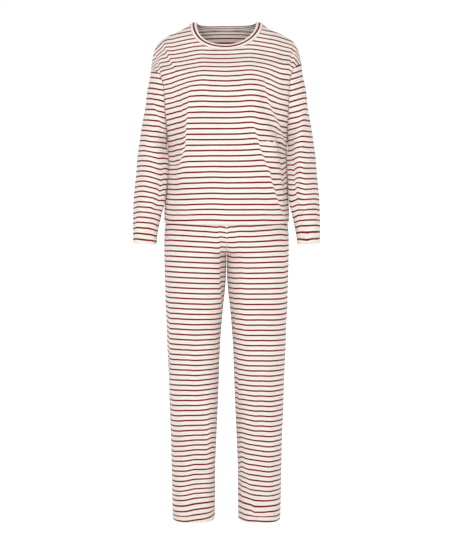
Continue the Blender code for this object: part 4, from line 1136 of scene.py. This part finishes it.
SLEEVES = {side: sleeve(side) for side in (LEFT, RIGHT)}
print("sleeves:", SLEEVES[LEFT][0].shape[1], "columns by", SLEEVES[LEFT][0].shape[0], "rows")

# %% [markdown]
# Where two pieces meet they have to bend the same way, or a gap would open. So the direction out
# of the cloth is shared along each seam, and fades into each piece's own direction beside it.
# The creases of the front panel and of the fronts of the sleeves come from one table, placed as
# seen from the front, so a crease can run across the armhole from one into the other.

# %% Joining the top's pieces
SEAM_EASE = {"armhole": 9.0, "neck": 5.0, "leg": 3.0}  # how far a shared direction reaches


def join_top(front, back):
    steps = NECK_STEPS + SHOULDER_STEPS
    side_rows = len(HEM_ROWS) + SIDE_STEPS - 1
    ease = SEAM_EASE["armhole"]
    for edge in (0, -1):
        share_seam(front[1][:side_rows, edge], back[1][:side_rows, edge])
    for part in (slice(0, SHOULDER_STEPS + 1), slice(2 * steps - SHOULDER_STEPS, None)):
        share_seam(front[1][-1, part], back[1][-1, part])
    for side, edge in ((LEFT, 0), (RIGHT, -1)):
        normals = SLEEVES[side][1]
        # Column ARMHOLE_STEPS of the sleeve is outside, and the front is on its far side.
        for i in range(ARMHOLE_STEPS + 1):
            row = side_rows - 1 + ARMHOLE_STEPS - i
            tuck = smooth_step((i / ARMHOLE_STEPS - 0.5) * 2)
            column = (ARMHOLE_STEPS + i) % (2 * ARMHOLE_STEPS)
            share_seam(normals[0, column], front[1][row, edge], tuck)
            if i < ARMHOLE_STEPS:
                share_seam(normals[0, ARMHOLE_STEPS - i], back[1][row, edge], tuck)
        back[1][side_rows - 1, edge] = front[1][side_rows - 1, edge]
        ease_in(normals.transpose(1, 0, 2), SLEEVES[side][0].transpose(1, 0, 2), ease)
    for grid, normals, _, _ in (front, back):
        in_armhole = slice(side_rows - 1, None)
        ease_in(normals[in_armhole], grid[in_armhole], ease)
        ease_in(normals[in_armhole, ::-1], grid[in_armhole, ::-1], ease)


join_top(FRONT_PANEL, BACK_PANEL)

# %% [markdown]
# ## The neckband
# The band is one strip of the jersey folded lengthwise and sewn to the neckline, with the stripe
# running along its middle. It stands on the neckline and leans towards the neck. Its seam shares
# its direction with both panels.

# %% The form of the neckband
BAND_PROFILE = columns(
    "share crown thickness",
    (0, -0.35, 1.3), (0.06, 0.1, 1.7), (0.16, 0.55, 2), (0.32, 1, 2.1), (0.5, BAND_CROWN, 2.2),
    (0.68, 1.05, 2.1), (0.82, 0.8, 2), (0.92, 0.45, 1.8), (0.975, 0.05, 1.4), (1, -0.4, 1),
)
BAND_WIDTH = 14.0
BAND_EXTRA_BEHIND = 1.4  # stripes more across the band behind the neck than in front
BEHIND = 40.0  # how far behind the shoulder seams all of that is there
BAND_FACING_UP = [0, 0, 40]  # the band's outside also faces up
BAND_EASE = 3  # how soon above its seam the band takes its own direction


def neckband(front, back):
    """The flat band from the neckline inwards, with its normals."""
    neck = slice(SHOULDER_STEPS, SHOULDER_STEPS + 2 * NECK_STEPS + 1)
    ring = np.concatenate([front[neck], back[neck][-2:0:-1]])
    ring[0, 1] = ring[2 * NECK_STEPS, 1] = 0
    face = np.where(ring[:, 1] <= 0, FRONT, BACK)
    taper = np.where(face == FRONT, BAND_TAPER[FRONT], BAND_TAPER[BACK])
    middle_rise = np.where(face == FRONT, BAND_RISE[FRONT], BAND_RISE[BACK])
    toward_middle = 1 - (abs(ring[:, 0]) / NECK_HALF_WIDTH) ** 2
    rise = BAND_RISE["shoulder"] + (middle_rise - BAND_RISE["shoulder"]) * toward_middle
    top = [ring[:, 0] * BAND_TAPER["across"], ring[:, 1] * taper, ring[:, 2] + rise]
    top = np.stack(top, axis=-1)
    lowest = ring + unit(top - ring) * BAND_GAP
    share = BAND_PROFILE["share"][:, None, None]
    grid = lowest + (top - lowest) * share
    outward = unit((ring - ring.mean(axis=0)) * [1, 1, 0] + BAND_FACING_UP)
    return grid, grid_normals(grid, outward, wrap=True)


def make_neckband():
    front, back = FRONT_PANEL, BACK_PANEL
    grid, normals = neckband(front[0][-1].copy(), back[0][-1].copy())
    shared = normals.copy()
    for i in range(2 * NECK_STEPS + 1):
        column = SHOULDER_STEPS + i
        share_seam(shared[0, i], front[1][-1, column])
        if i:
            share_seam(shared[0, -i], back[1][-1, column])
    shared[0, 0] = front[1][-1, SHOULDER_STEPS] = back[1][-1, SHOULDER_STEPS]
    shared[0, 2 * NECK_STEPS] = front[1][-1, -SHOULDER_STEPS - 1]
    back[1][-1, -SHOULDER_STEPS - 1] = front[1][-1, -SHOULDER_STEPS - 1]
    weight = (1 - BAND_PROFILE["share"][:, None, None]) ** BAND_EASE
    normals = unit(normals * (1 - weight) + shared[:1] * weight)
    grid = grid + normals * BAND_PROFILE["crown"][:, None, None]
    for panel in (front, back):
        grid_up, normals_up = (part[::-1].transpose(1, 0, 2) for part in panel[:2])
        ease_in(normals_up, grid_up, SEAM_EASE["neck"])
    behind = smooth_step(grid[:, :, 1] / BEHIND)
    stripes = BAND_WIDTH / REPEAT + behind * BAND_EXTRA_BEHIND
    count = (BAND_PROFILE["share"][:, None] - 0.5) * stripes
    piece = cloth(
        "neckband_folded", grid, normals, BAND_PROFILE["thickness"], arc(grid, wrap=True), count,
        BAND, wrap=True,
    )
    return dress(piece, "neckband")


band_piece = make_neckband()

# %% [markdown]
# With every shared direction settled, the panels and the sleeves get their lifts all at once:
# large folds, creases, the hem's profile and the grooves along their seams.

# %% The top's cloth
ROWS = {}  # where rows of stitches run: which piece of thread, points, normals
SLEEVE_CREASES_ABOVE = 30.0  # how far above the cuff a sleeve's creases are full
CUFF_CREASES = 0.2  # what is left of them at the cuff


def make_panel(panel, face, name, node):
    """The front or the back of the top, and its outside."""
    grid, normals, folds, clear_of_neck = panel
    x, z = grid[..., 0], grid[..., 2]
    creases, drag = crease_fields(CREASES["top", face], x, z)
    creases = creases * near_seam(grid[..., 1]) * clear_of_neck
    above = z - HEM_HEIGHT
    from_top = arc_down(grid[::-1])[::-1]
    lift = folds + creases + hem_lift(above) + seam_dip(from_sides(grid)) + seam_dip(from_top)
    outer = grid + normals * lift[..., None]
    count = top_count(x, z + drag, face)
    middle = grid.shape[1] // 2
    piece = cloth(
        name, outer, normals, hem_thickness(above)[:, 0], arc(outer, middle), count, STRIPED
    )
    for at in STITCH_HEIGHTS:
        row = int(np.argmin(abs(HEM_ROWS - at)))
        ROWS[f"{name} {at}"] = ("top_hem", outer[row, 1:-1], normals[row, 1:-1])
    return dress(piece, node), outer


def make_sleeve(side, name, node):
    grid, normals, folds, turn, above = SLEEVES[side]
    creases, drag = np.zeros(turn.shape), np.zeros(turn.shape)
    for face, here in ((FRONT, turn >= 0), (BACK, turn < 0)):
        lift, lower = crease_fields(CREASES["top", face], grid[..., 0], grid[..., 2])
        creases += np.where(here, lift, 0)
        drag += np.where(here, lower, 0)
    creases *= near_seam(grid[..., 1] - glide(SLEEVE, "middle", grid[..., 2]))
    creases *= smooth_step(above / SLEEVE_CREASES_ABOVE) * (1 - CUFF_CREASES) + CUFF_CREASES
    lift = folds + creases + hem_lift(above) + seam_dip(arc_down(grid))
    outer = grid + normals * lift[..., None]
    lower = sag(SLEEVE_SAG[side], abs(turn), grid[..., 2])
    count = glide(SLEEVE_STRIPES[side], "count", grid[..., 2] + lower + drag)
    around = arc(outer, ARMHOLE_STEPS, wrap=True)
    piece = cloth(
        name, outer, normals, hem_thickness(above)[:, 0], around, count, STRIPED, wrap=True
    )
    for at in STITCH_HEIGHTS:
        row = -1 - int(np.argmin(abs(HEM_ROWS - at)))
        ring = np.append(np.arange(outer.shape[1]), 0)
        ROWS[f"{name} {at}"] = (name, outer[row, ring], normals[row, ring])
    return dress(piece, node)


front_piece, front_outer = make_panel(FRONT_PANEL, FRONT, "top_front_cloth", "top_front")
back_piece, back_outer = make_panel(BACK_PANEL, BACK, "top_back_cloth", "top_back")
sleeve_pieces = [
    make_sleeve(LEFT, "sleeve_left_cloth", "sleeve_left"),
    make_sleeve(RIGHT, "sleeve_right_cloth", "sleeve_right"),
]

# %% [markdown]
# ## The trousers
# Each leg is a tube of level ovals. Above the crotch the two tubes become one seat, and the
# centre seam cuts them where they meet. A panel runs from its side seam to its inseam, round the
# front or the back. The waist is gathered by the elastic in its casing, so the cloth just below
# the waistband ripples; the top hides it.

# %% The form of a leg
SEAT_FOLDS_FADE = 60.0  # over what height the legs' folds set in below the seat
SEAT_CREASES_FADE = 40.0  # and their creases
RIPPLES = columns("pitch start size", (3.1, 0, 1), (1.9, 1.3, 0.6), (5.3, 0.4, 0.5))
GATHERS = {"size": 0.6, "down_to": 62.0, "fade": 55.0}
CROTCH_ROWS = np.array([40, 35, 30, 25, 20, 16, 12, 8, 5, 2.5, 1, 0, -2, -5, -9, -14, -20, -27])
FINE_ROWS = (45, -33)  # above and below the crotch, where the even rows take over
SEAT_ROWS = 56


def leg_point(turn, height, side, face):
    """A point of one leg or of its half of the seat. turn is 0 at the side seam and 180 at the
    inseam, round the front or the back."""
    angle = np.radians(turn)
    centre, outer = glide(LEG, "centre", height), glide(LEG, "outer", height)
    inner = glide(LEG, "inner", height)
    depth = glide(LEG, "front" if face == FRONT else "back", height)
    cosine = np.sign(np.cos(angle)) * abs(np.cos(angle)) ** LEG_ROUNDNESS
    reach = np.where(cosine > 0, outer - centre, centre - inner)
    middle = np.sin(angle)
    x = centre + reach * cosine
    seat = depth * np.sqrt(1 - np.clip(abs(x) / outer, 0, 1) ** TRUNK_SQUARENESS)
    oval = depth * middle**LEG_ROUNDNESS
    in_seat = smooth_step((height - CROTCH_HEIGHT) / SEAT_BLEND)
    lift = fold_lift(LEG_FOLDS[face], side * x, height)
    lift = lift * smooth_step((SEAT_FOLDS_START - height) / SEAT_FOLDS_FADE) * middle
    y = face * (oval + (seat - oval) * in_seat + lift)
    return np.stack(np.broadcast_arrays(side * x, y, height), axis=-1)


def inner_turn(height):
    """How far round the leg a panel goes: to the inseam, or higher up to the centre seam."""
    centre = glide(LEG, "centre", height) - SEAM_GAP / 2
    share = np.clip(centre / (glide(LEG, "centre", height) - glide(LEG, "inner", height)), 0, 1)
    turn = 180 - np.degrees(np.arccos(share ** (1 / LEG_ROUNDNESS)))
    return np.where(height > CROTCH_HEIGHT, turn, 180.0)


def gathers(x, height):
    """Ripples under the elastic, uneven in size, that die out below it."""
    ripple = sum(size * np.sin(x / pitch + start) for pitch, start, size in zip(*RIPPLES.values()))
    lowest = WAIST_SEAM_HEIGHT - GATHERS["down_to"]
    return GATHERS["size"] * ripple * smooth_step((height - lowest) / GATHERS["fade"])


def leg_heights():
    """The heights of a leg's rows, closest together at the crotch and in the hem."""
    seat = np.linspace(WAIST_SEAM_HEIGHT - SEAM_GAP, CROTCH_HEIGHT + FINE_ROWS[0], SEAT_ROWS)
    leg = np.linspace(CROTCH_HEIGHT + FINE_ROWS[1], LEG_HEM_HEIGHT + HEM_ROWS[-1], LEG_STEPS)
    hem = LEG_HEM_HEIGHT + HEM_ROWS[-2::-1]
    return np.concatenate([seat, CROTCH_HEIGHT + CROTCH_ROWS, leg, hem])


def leg_panel(side, face):
    """One leg panel and its normals, from its side seam to its inseam and centre seam."""
    height = leg_heights()[:, None]
    even = np.linspace(0, 1, LEG_AROUND[face] + 1)[None, :]
    turn = inner_turn(height) * even
    grid = leg_point(turn, height, side, face)
    centre = np.stack(np.broadcast_arrays(side * glide(LEG, "centre", height), 0, height), axis=-1)
    normals = grid_normals(grid, grid - centre)
    grid[:, 0, 1] = face * SEAM_GAP / 2
    legs_apart = height[:, 0] <= CROTCH_HEIGHT
    grid[legs_apart, -1, 1] = face * SEAM_GAP / 2
    grid[~legs_apart, -1, 0] = side * SEAM_GAP / 2
    return grid, normals


def join_trousers(panels):
    above = leg_heights() > CROTCH_HEIGHT
    for side in (LEFT, RIGHT):
        front, back = panels[side, FRONT][1], panels[side, BACK][1]
        share_seam(front[:, 0], back[:, 0])
        middle = unit(front[~above, -1] + back[~above, -1])
        front[~above, -1] = back[~above, -1] = middle
    for face in (FRONT, BACK):
        left, right = panels[LEFT, face][1], panels[RIGHT, face][1]
        middle = unit(left[above, -1] + right[above, -1])
        left[above, -1] = right[above, -1] = middle
    for grid, normals in panels.values():
        ease_in(normals, grid, SEAM_EASE["leg"])
        ease_in(normals[:, ::-1], grid[:, ::-1], SEAM_EASE["leg"])


LEG_PANELS = {
    (side, face): leg_panel(side, face) for side in (LEFT, RIGHT) for face in (FRONT, BACK)
}
join_trousers(LEG_PANELS)
print("leg panels in front:", LEG_PANELS[LEFT, FRONT][0].shape[:2], "rows and columns")

# %% The trousers' cloth
def make_leg(side, face):
    where = "front" if face == FRONT else "back"
    node = f"trouser_{where}_{'left' if side == LEFT else 'right'}"
    name = node + "_cloth"
    grid, normals = LEG_PANELS[side, face]
    x, z = grid[..., 0], grid[..., 2]
    creases, drag = crease_fields(CREASES["trousers", face], x, z)
    calm = near_seam(grid[..., 1])
    creases = creases * calm * smooth_step((SEAT_FOLDS_START - z) / SEAT_CREASES_FADE)
    above = z - LEG_HEM_HEIGHT
    lift = creases + hem_lift(above) + seam_dip(from_sides(grid)) + gathers(x, z) * calm
    outer = grid + normals * lift[..., None]
    count = trousers_count(x, z + drag)
    piece = cloth(name, outer, normals, hem_thickness(above)[:, 0], arc(outer), count, STRIPED)
    for at in STITCH_HEIGHTS:
        row = -1 - int(np.argmin(abs(HEM_ROWS - at)))
        ROWS[f"{name} {at}"] = ("leg_hem", outer[row, 1:-1], normals[row, 1:-1])
    return dress(piece, node)


leg_pieces = {key: make_leg(*key) for key in LEG_PANELS}

# %% [markdown]
# ## The waistband
# The waistband is a casing of the same jersey around a flat elastic, stitched through in three
# rows. Between the rows the cloth is gathered into small upright ripples.

# %% The waistband
BAND_ROWS = (6.0, 17.5, 29.0)  # how far above its seam each row of stitches runs
WAIST_ROWS = 25
WAIST_AROUND = 110  # columns in each quarter
PUFF = {"size": 0.45, "pitch": 2.3, "fine_pitch": 1.35, "fine_size": 0.7, "fine_start": 0.8}
PULL = {"depth": 0.5, "width": 1.6, "flattens": 0.7}  # what each row of stitches does


def make_waistband():
    heights = np.linspace(WAIST_SEAM_HEIGHT, WAIST_HEIGHT, WAIST_ROWS)[:, None]
    parts = []
    for side, face in ((RIGHT, FRONT), (LEFT, FRONT), (LEFT, BACK), (RIGHT, BACK)):
        turn = inner_turn(heights) * np.linspace(0, 1, WAIST_AROUND)[None, :]
        part = leg_point(turn, heights, side, face)
        parts.append(part[:, :-1] if side != face else part[:, :0:-1])
    grid = np.concatenate(parts, axis=1)
    normals = grid_normals(grid, grid * [1, 1, 0], wrap=True)
    above, below = heights - WAIST_SEAM_HEIGHT, WAIST_HEIGHT - heights
    pulled = sum(np.exp(-(((above - at) / PULL["width"]) ** 2)) for at in BAND_ROWS)
    along = arc(grid)[:1]
    fine = PUFF["fine_size"] * np.sin(along / PUFF["fine_pitch"] + PUFF["fine_start"])
    puff = PUFF["size"] * (np.sin(along / PUFF["pitch"]) + fine)
    lift = puff * (1 - PULL["flattens"] * pulled) - PULL["depth"] * pulled
    outer = grid + normals * (lift + seam_dip(above) + seam_dip(below))[..., None]
    count = np.broadcast_to(glide(TROUSER_STRIPES, "count", grid[..., 2]), grid.shape[:2])
    thickness = np.full(len(heights), BAND_CLOTH)
    around = arc(outer, wrap=True)
    piece = cloth("waistband_casing", outer, normals, thickness, around, count, BAND, wrap=True)
    for at in BAND_ROWS:
        row = int(np.argmin(abs(above[:, 0] - at)))
        ring = np.append(np.arange(outer.shape[1]), 0)
        ROWS[f"waistband {at}"] = ("waistband", outer[row, ring], normals[row, ring])
    return dress(piece, "waistband")


waist_piece = make_waistband()

# %% [markdown]
# ## Stitches
# A row of stitches is the same short thread again and again along a path, which is a job for
# Geometry Nodes. The tree walks along the path at an even pitch, lays one bent thread at each
# step with its back to the cloth, makes the copies real and gives them their material. The path
# carries an attribute, `out`, that says which way is out of the cloth.

# %% The stitch tree
STITCH_PITCH = 3.0
STITCH_LENGTH = 2.3
THREAD = 0.5  # its diameter
THREAD_BEND, THREAD_SIDES = 3, 5  # pieces along one stitch and sides round it
STITCH_LIFT = 0.12  # how far off the cloth a row lies
NECK_STITCHES_BELOW = 3.0  # how far below the neckband's seam its row runs


def stitch_tree():
    """The Geometry Nodes tree that turns a path into a row of stitches."""
    tree = bpy.data.node_groups.new("row of stitches", "GeometryNodeTree")
    face = tree.interface
    face.new_socket("Geometry", in_out="INPUT", socket_type="NodeSocketGeometry")
    for name in ("Pitch", "Length", "Thread"):
        face.new_socket(name, in_out="INPUT", socket_type="NodeSocketFloat")
    face.new_socket("Material", in_out="INPUT", socket_type="NodeSocketMaterial")
    face.new_socket("Geometry", in_out="OUTPUT", socket_type="NodeSocketGeometry")
    nodes, links = tree.nodes, tree.links

    def add(kind, **settings):
        made = nodes.new(kind)
        for key, value in settings.items():
            setattr(made, key, value)
        return made

    given, result = add("NodeGroupInput"), add("NodeGroupOutput")
    path = add("GeometryNodeMeshToCurve")
    walk = add("GeometryNodeResampleCurve", mode="LENGTH")
    links.new(given.outputs["Geometry"], path.inputs["Mesh"])
    links.new(path.outputs["Curve"], walk.inputs["Curve"])
    links.new(given.outputs["Pitch"], walk.inputs["Length"])

    def times(size, factor):
        """One of the tree's sizes, times a number."""
        node = add("ShaderNodeMath", operation="MULTIPLY")
        node.inputs[1].default_value = factor
        links.new(given.outputs[size], node.inputs[0])
        return node.outputs[0]

    bend = add("GeometryNodeCurveQuadraticBezier")
    bend.inputs["Resolution"].default_value = THREAD_BEND
    sunk = times("Thread", -0.6)
    for name, along, lift in (
        ("Start", times("Length", -0.5), sunk),
        ("Middle", None, given.outputs["Thread"]),
        ("End", times("Length", 0.5), sunk),
    ):
        point = add("ShaderNodeCombineXYZ")
        if along is not None:
            links.new(along, point.inputs[0])
        links.new(lift, point.inputs[2])
        links.new(point.outputs[0], bend.inputs[name])
    ring = add("GeometryNodeCurvePrimitiveCircle")
    ring.inputs["Resolution"].default_value = THREAD_SIDES
    links.new(times("Thread", 0.5), ring.inputs["Radius"])
    thread = add("GeometryNodeCurveToMesh")
    thread.inputs["Fill Caps"].default_value = True
    links.new(bend.outputs["Curve"], thread.inputs["Curve"])
    links.new(ring.outputs["Curve"], thread.inputs["Profile Curve"])

    out = add("GeometryNodeInputNamedAttribute", data_type="FLOAT_VECTOR")
    out.inputs["Name"].default_value = "out"
    lie = add("FunctionNodeAlignRotationToVector", axis="X")
    face_out = add("FunctionNodeAlignRotationToVector", axis="Z", pivot_axis="X")
    links.new(add("GeometryNodeInputTangent").outputs[0], lie.inputs["Vector"])
    links.new(lie.outputs[0], face_out.inputs["Rotation"])
    links.new(out.outputs[0], face_out.inputs["Vector"])

    copies = add("GeometryNodeInstanceOnPoints")
    real, finish = add("GeometryNodeRealizeInstances"), add("GeometryNodeSetMaterial")
    links.new(walk.outputs["Curve"], copies.inputs["Points"])
    links.new(thread.outputs["Mesh"], copies.inputs["Instance"])
    links.new(face_out.outputs[0], copies.inputs["Rotation"])
    links.new(copies.outputs[0], real.inputs[0])
    links.new(real.outputs[0], finish.inputs["Geometry"])
    links.new(given.outputs["Material"], finish.inputs["Material"])
    links.new(finish.outputs[0], result.inputs[0])
    return tree


STITCHES = stitch_tree()
print("stitch tree:", len(STITCHES.nodes), "nodes")

# %% [markdown]
# The sewing thread is spun polyester, smoother and a little shinier than the cotton. Fine slanting
# ridges stand for its twist.

# %% The thread, and the rows of stitches
THREAD_DARK = (0.70, 0.64, 0.575, 1)
THREAD_LIGHT = (0.78, 0.73, 0.665, 1)


def thread_material():
    recipe = Recipe("sewing thread")
    place = recipe.add("ShaderNodeTexCoord", {}, output="Object")
    twist = {"Vector": place, "Scale": 900.0, "Distortion": 1.5}
    twist = recipe.add("ShaderNodeTexWave", twist, output="Fac")
    tone = recipe.add("ShaderNodeTexNoise", {"Vector": place, "Scale": 300.0})
    bump = {"Height": twist, "Strength": 0.4, "Distance": 0.00008}
    recipe.surface({
        "Base Color": recipe.mix(recipe.ramp(tone, 0.3, 0.7), THREAD_DARK, THREAD_LIGHT),
        "Normal": recipe.add("ShaderNodeBump", bump),
        "Roughness": recipe.ramp(tone, 0.3, 0.7, 0.5, 0.62),
        "Sheen Weight": 0.1,
    })
    return recipe.material


THREAD_MATERIAL = thread_material()


def sew(name, rows):
    """Lays stitches along rows of points, each with the way out of the cloth at every point."""
    points = np.concatenate([p + n * STITCH_LIFT for p, n in rows]) * MM
    out = np.concatenate([n for _, n in rows])
    edges, start = [], 0
    for p, _ in rows:
        edges += [(start + i, start + i + 1) for i in range(len(p) - 1)]
        start += len(p)
    mesh = bpy.data.meshes.new(name + " path")
    mesh.from_pydata(points.tolist(), edges, [])
    attribute = mesh.attributes.new("out", "FLOAT_VECTOR", "POINT")
    attribute.data.foreach_set("vector", out.astype(np.float32).ravel())
    guide = add_object(name + " path", mesh)
    modifier = guide.modifiers.new("stitches", "NODES")
    modifier.node_group = STITCHES
    values = {"Pitch": STITCH_PITCH * MM, "Length": STITCH_LENGTH * MM, "Thread": THREAD * MM}
    values["Material"] = THREAD_MATERIAL
    for item in STITCHES.interface.items_tree:
        if item.in_out == "INPUT" and item.name in values:
            modifier[item.identifier] = values[item.name]
    depsgraph = bpy.context.evaluated_depsgraph_get()
    made = bpy.data.meshes.new_from_object(guide.evaluated_get(depsgraph))
    made.name = name
    bpy.data.objects.remove(guide)
    made.shade_smooth()
    piece = add_object(name, made)
    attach(piece, "root")
    print(f"{name}: {sum(len(f.vertices) - 2 for f in made.polygons)} triangles")


def rows_of(group):
    return [(points, normals) for where, points, normals in ROWS.values() if where == group]


def neck_rows():
    """One row of stitches round the neckline, below the band."""
    rows = []
    for (grid, normals, _, _), outer in ((FRONT_PANEL, front_outer), (BACK_PANEL, back_outer)):
        neck = slice(SHOULDER_STEPS + 1, SHOULDER_STEPS + 2 * NECK_STEPS)
        below = arc_down(grid[::-1]).T[neck]
        line, out = (part[::-1].transpose(1, 0, 2)[neck] for part in (outer, normals))
        at = [
            [[np.interp(NECK_STITCHES_BELOW, d, v[:, k]) for k in range(3)] for v in (p, n)]
            for d, p, n in zip(below, line, out)
        ]
        at = np.array(at)
        rows.append((at[:, 0], unit(at[:, 1])))
    return rows


for name in ("top_hem", "sleeve_left_cloth", "sleeve_right_cloth", "leg_hem", "waistband"):
    sew(name.replace("_cloth", "") + "_stitches", rows_of(name))
sew("neckline_stitches", neck_rows())

# %% [markdown]


# %% [markdown]
# ## The stage
# The set hangs over a pale seamless floor under soft light, as in a plain studio: a bright even
# room, and one large soft light in front, level with the neck and a little to the left. The floor
# is far enough below the legs that it holds no hard shadow.

# %% Floor and light
FLOOR_SIZE = 60.0
FLOOR_HEIGHT = -1.62
FLOOR_DARK, FLOOR_LIGHT = (0.93, 0.93, 0.93, 1), (0.95, 0.95, 0.95, 1)
FLOOR_GLOW = 0.5  # behind the set, where the floor runs into the bright wall
LIGHT_PLACE, LIGHT_AIM = (-0.1, -2.3, -0.1), (0, 0, -0.4)
LIGHT_SIZE = (1.6, 1.1)
LIGHT_POWER = 32
ROOM_FRONT, ROOM_BACK = 0.68, 1.02


def floor():
    recipe = Recipe("pale floor")
    place = recipe.add("ShaderNodeTexCoord", {}, output="Object")
    grain = recipe.add("ShaderNodeTexNoise", {"Vector": place, "Scale": 40.0})
    behind = recipe.split(place)[1]
    recipe.surface({
        "Base Color": recipe.mix(recipe.ramp(grain, 0.3, 0.7), FLOOR_DARK, FLOOR_LIGHT),
        "Roughness": 0.95,
        "Specular IOR Level": 0.0,
        "Emission Color": (1, 1, 1, 1),
        "Emission Strength": recipe.ramp(behind, 0.0, 0.4, 0.0, FLOOR_GLOW),
    })
    mesh = bpy.data.meshes.new("floor")
    corners = [(-FLOOR_SIZE, -FLOOR_SIZE), (FLOOR_SIZE, -FLOOR_SIZE)]
    corners += [(FLOOR_SIZE, FLOOR_SIZE), (-FLOOR_SIZE, FLOOR_SIZE)]
    mesh.from_pydata([(x, y, FLOOR_HEIGHT) for x, y in corners], [], [(0, 1, 2, 3)])
    mesh.materials.append(recipe.material)
    ground = add_object("floor", mesh)


def light(name, place, towards, size, power):
    lamp = bpy.data.lights.new(name, "AREA")
    lamp.shape = "RECTANGLE"
    lamp.size, lamp.size_y = size
    lamp.energy = power
    carrier = add_object(name, lamp)
    carrier.location = place
    way = Vector(towards) - Vector(place)
    carrier.rotation_euler = way.to_track_quat("-Z", "Y").to_euler()
    carrier.visible_camera = False


floor()
light("large soft light", LIGHT_PLACE, LIGHT_AIM, LIGHT_SIZE, LIGHT_POWER)


def bright_room():
    """Even light all round, with a brighter wall behind the set than in front of it."""
    world = bpy.data.worlds.new("bright room")
    world.use_nodes = True
    tree = world.node_tree
    way = tree.nodes.new("ShaderNodeTexCoord")
    split = tree.nodes.new("ShaderNodeSeparateXYZ")
    wall = tree.nodes.new("ShaderNodeMapRange")
    for key, value in {1: 0.0, 2: 0.7, 3: ROOM_FRONT, 4: ROOM_BACK}.items():
        wall.inputs[key].default_value = value
    tree.links.new(way.outputs["Generated"], split.inputs[0])
    tree.links.new(split.outputs[1], wall.inputs[0])
    background = tree.nodes["Background"]
    background.inputs[0].default_value = (1, 1, 1, 1)
    tree.links.new(wall.outputs[0], background.inputs[1])
    bpy.context.scene.world = world


bright_room()
bpy.context.scene.view_settings.view_transform = "Standard"

# %% [markdown]
# ## The camera
# The camera stands four metres away, level with the chest, and looks slightly down.

# %% Camera
CAMERA_PLACE = (0, -4.0, -0.343)
CAMERA_DIP = 5.3  # degrees below level
CAMERA_LENS = 91.26

camera = add_object("camera", bpy.data.cameras.new("camera"))
camera.data.sensor_width = 36
camera.data.lens = CAMERA_LENS
camera.location = CAMERA_PLACE
camera.rotation_euler = (math.radians(90 - CAMERA_DIP), 0, 0)
bpy.context.scene.camera = camera
print("camera", -CAMERA_PLACE[1], "m away, looking", CAMERA_DIP, "degrees down")
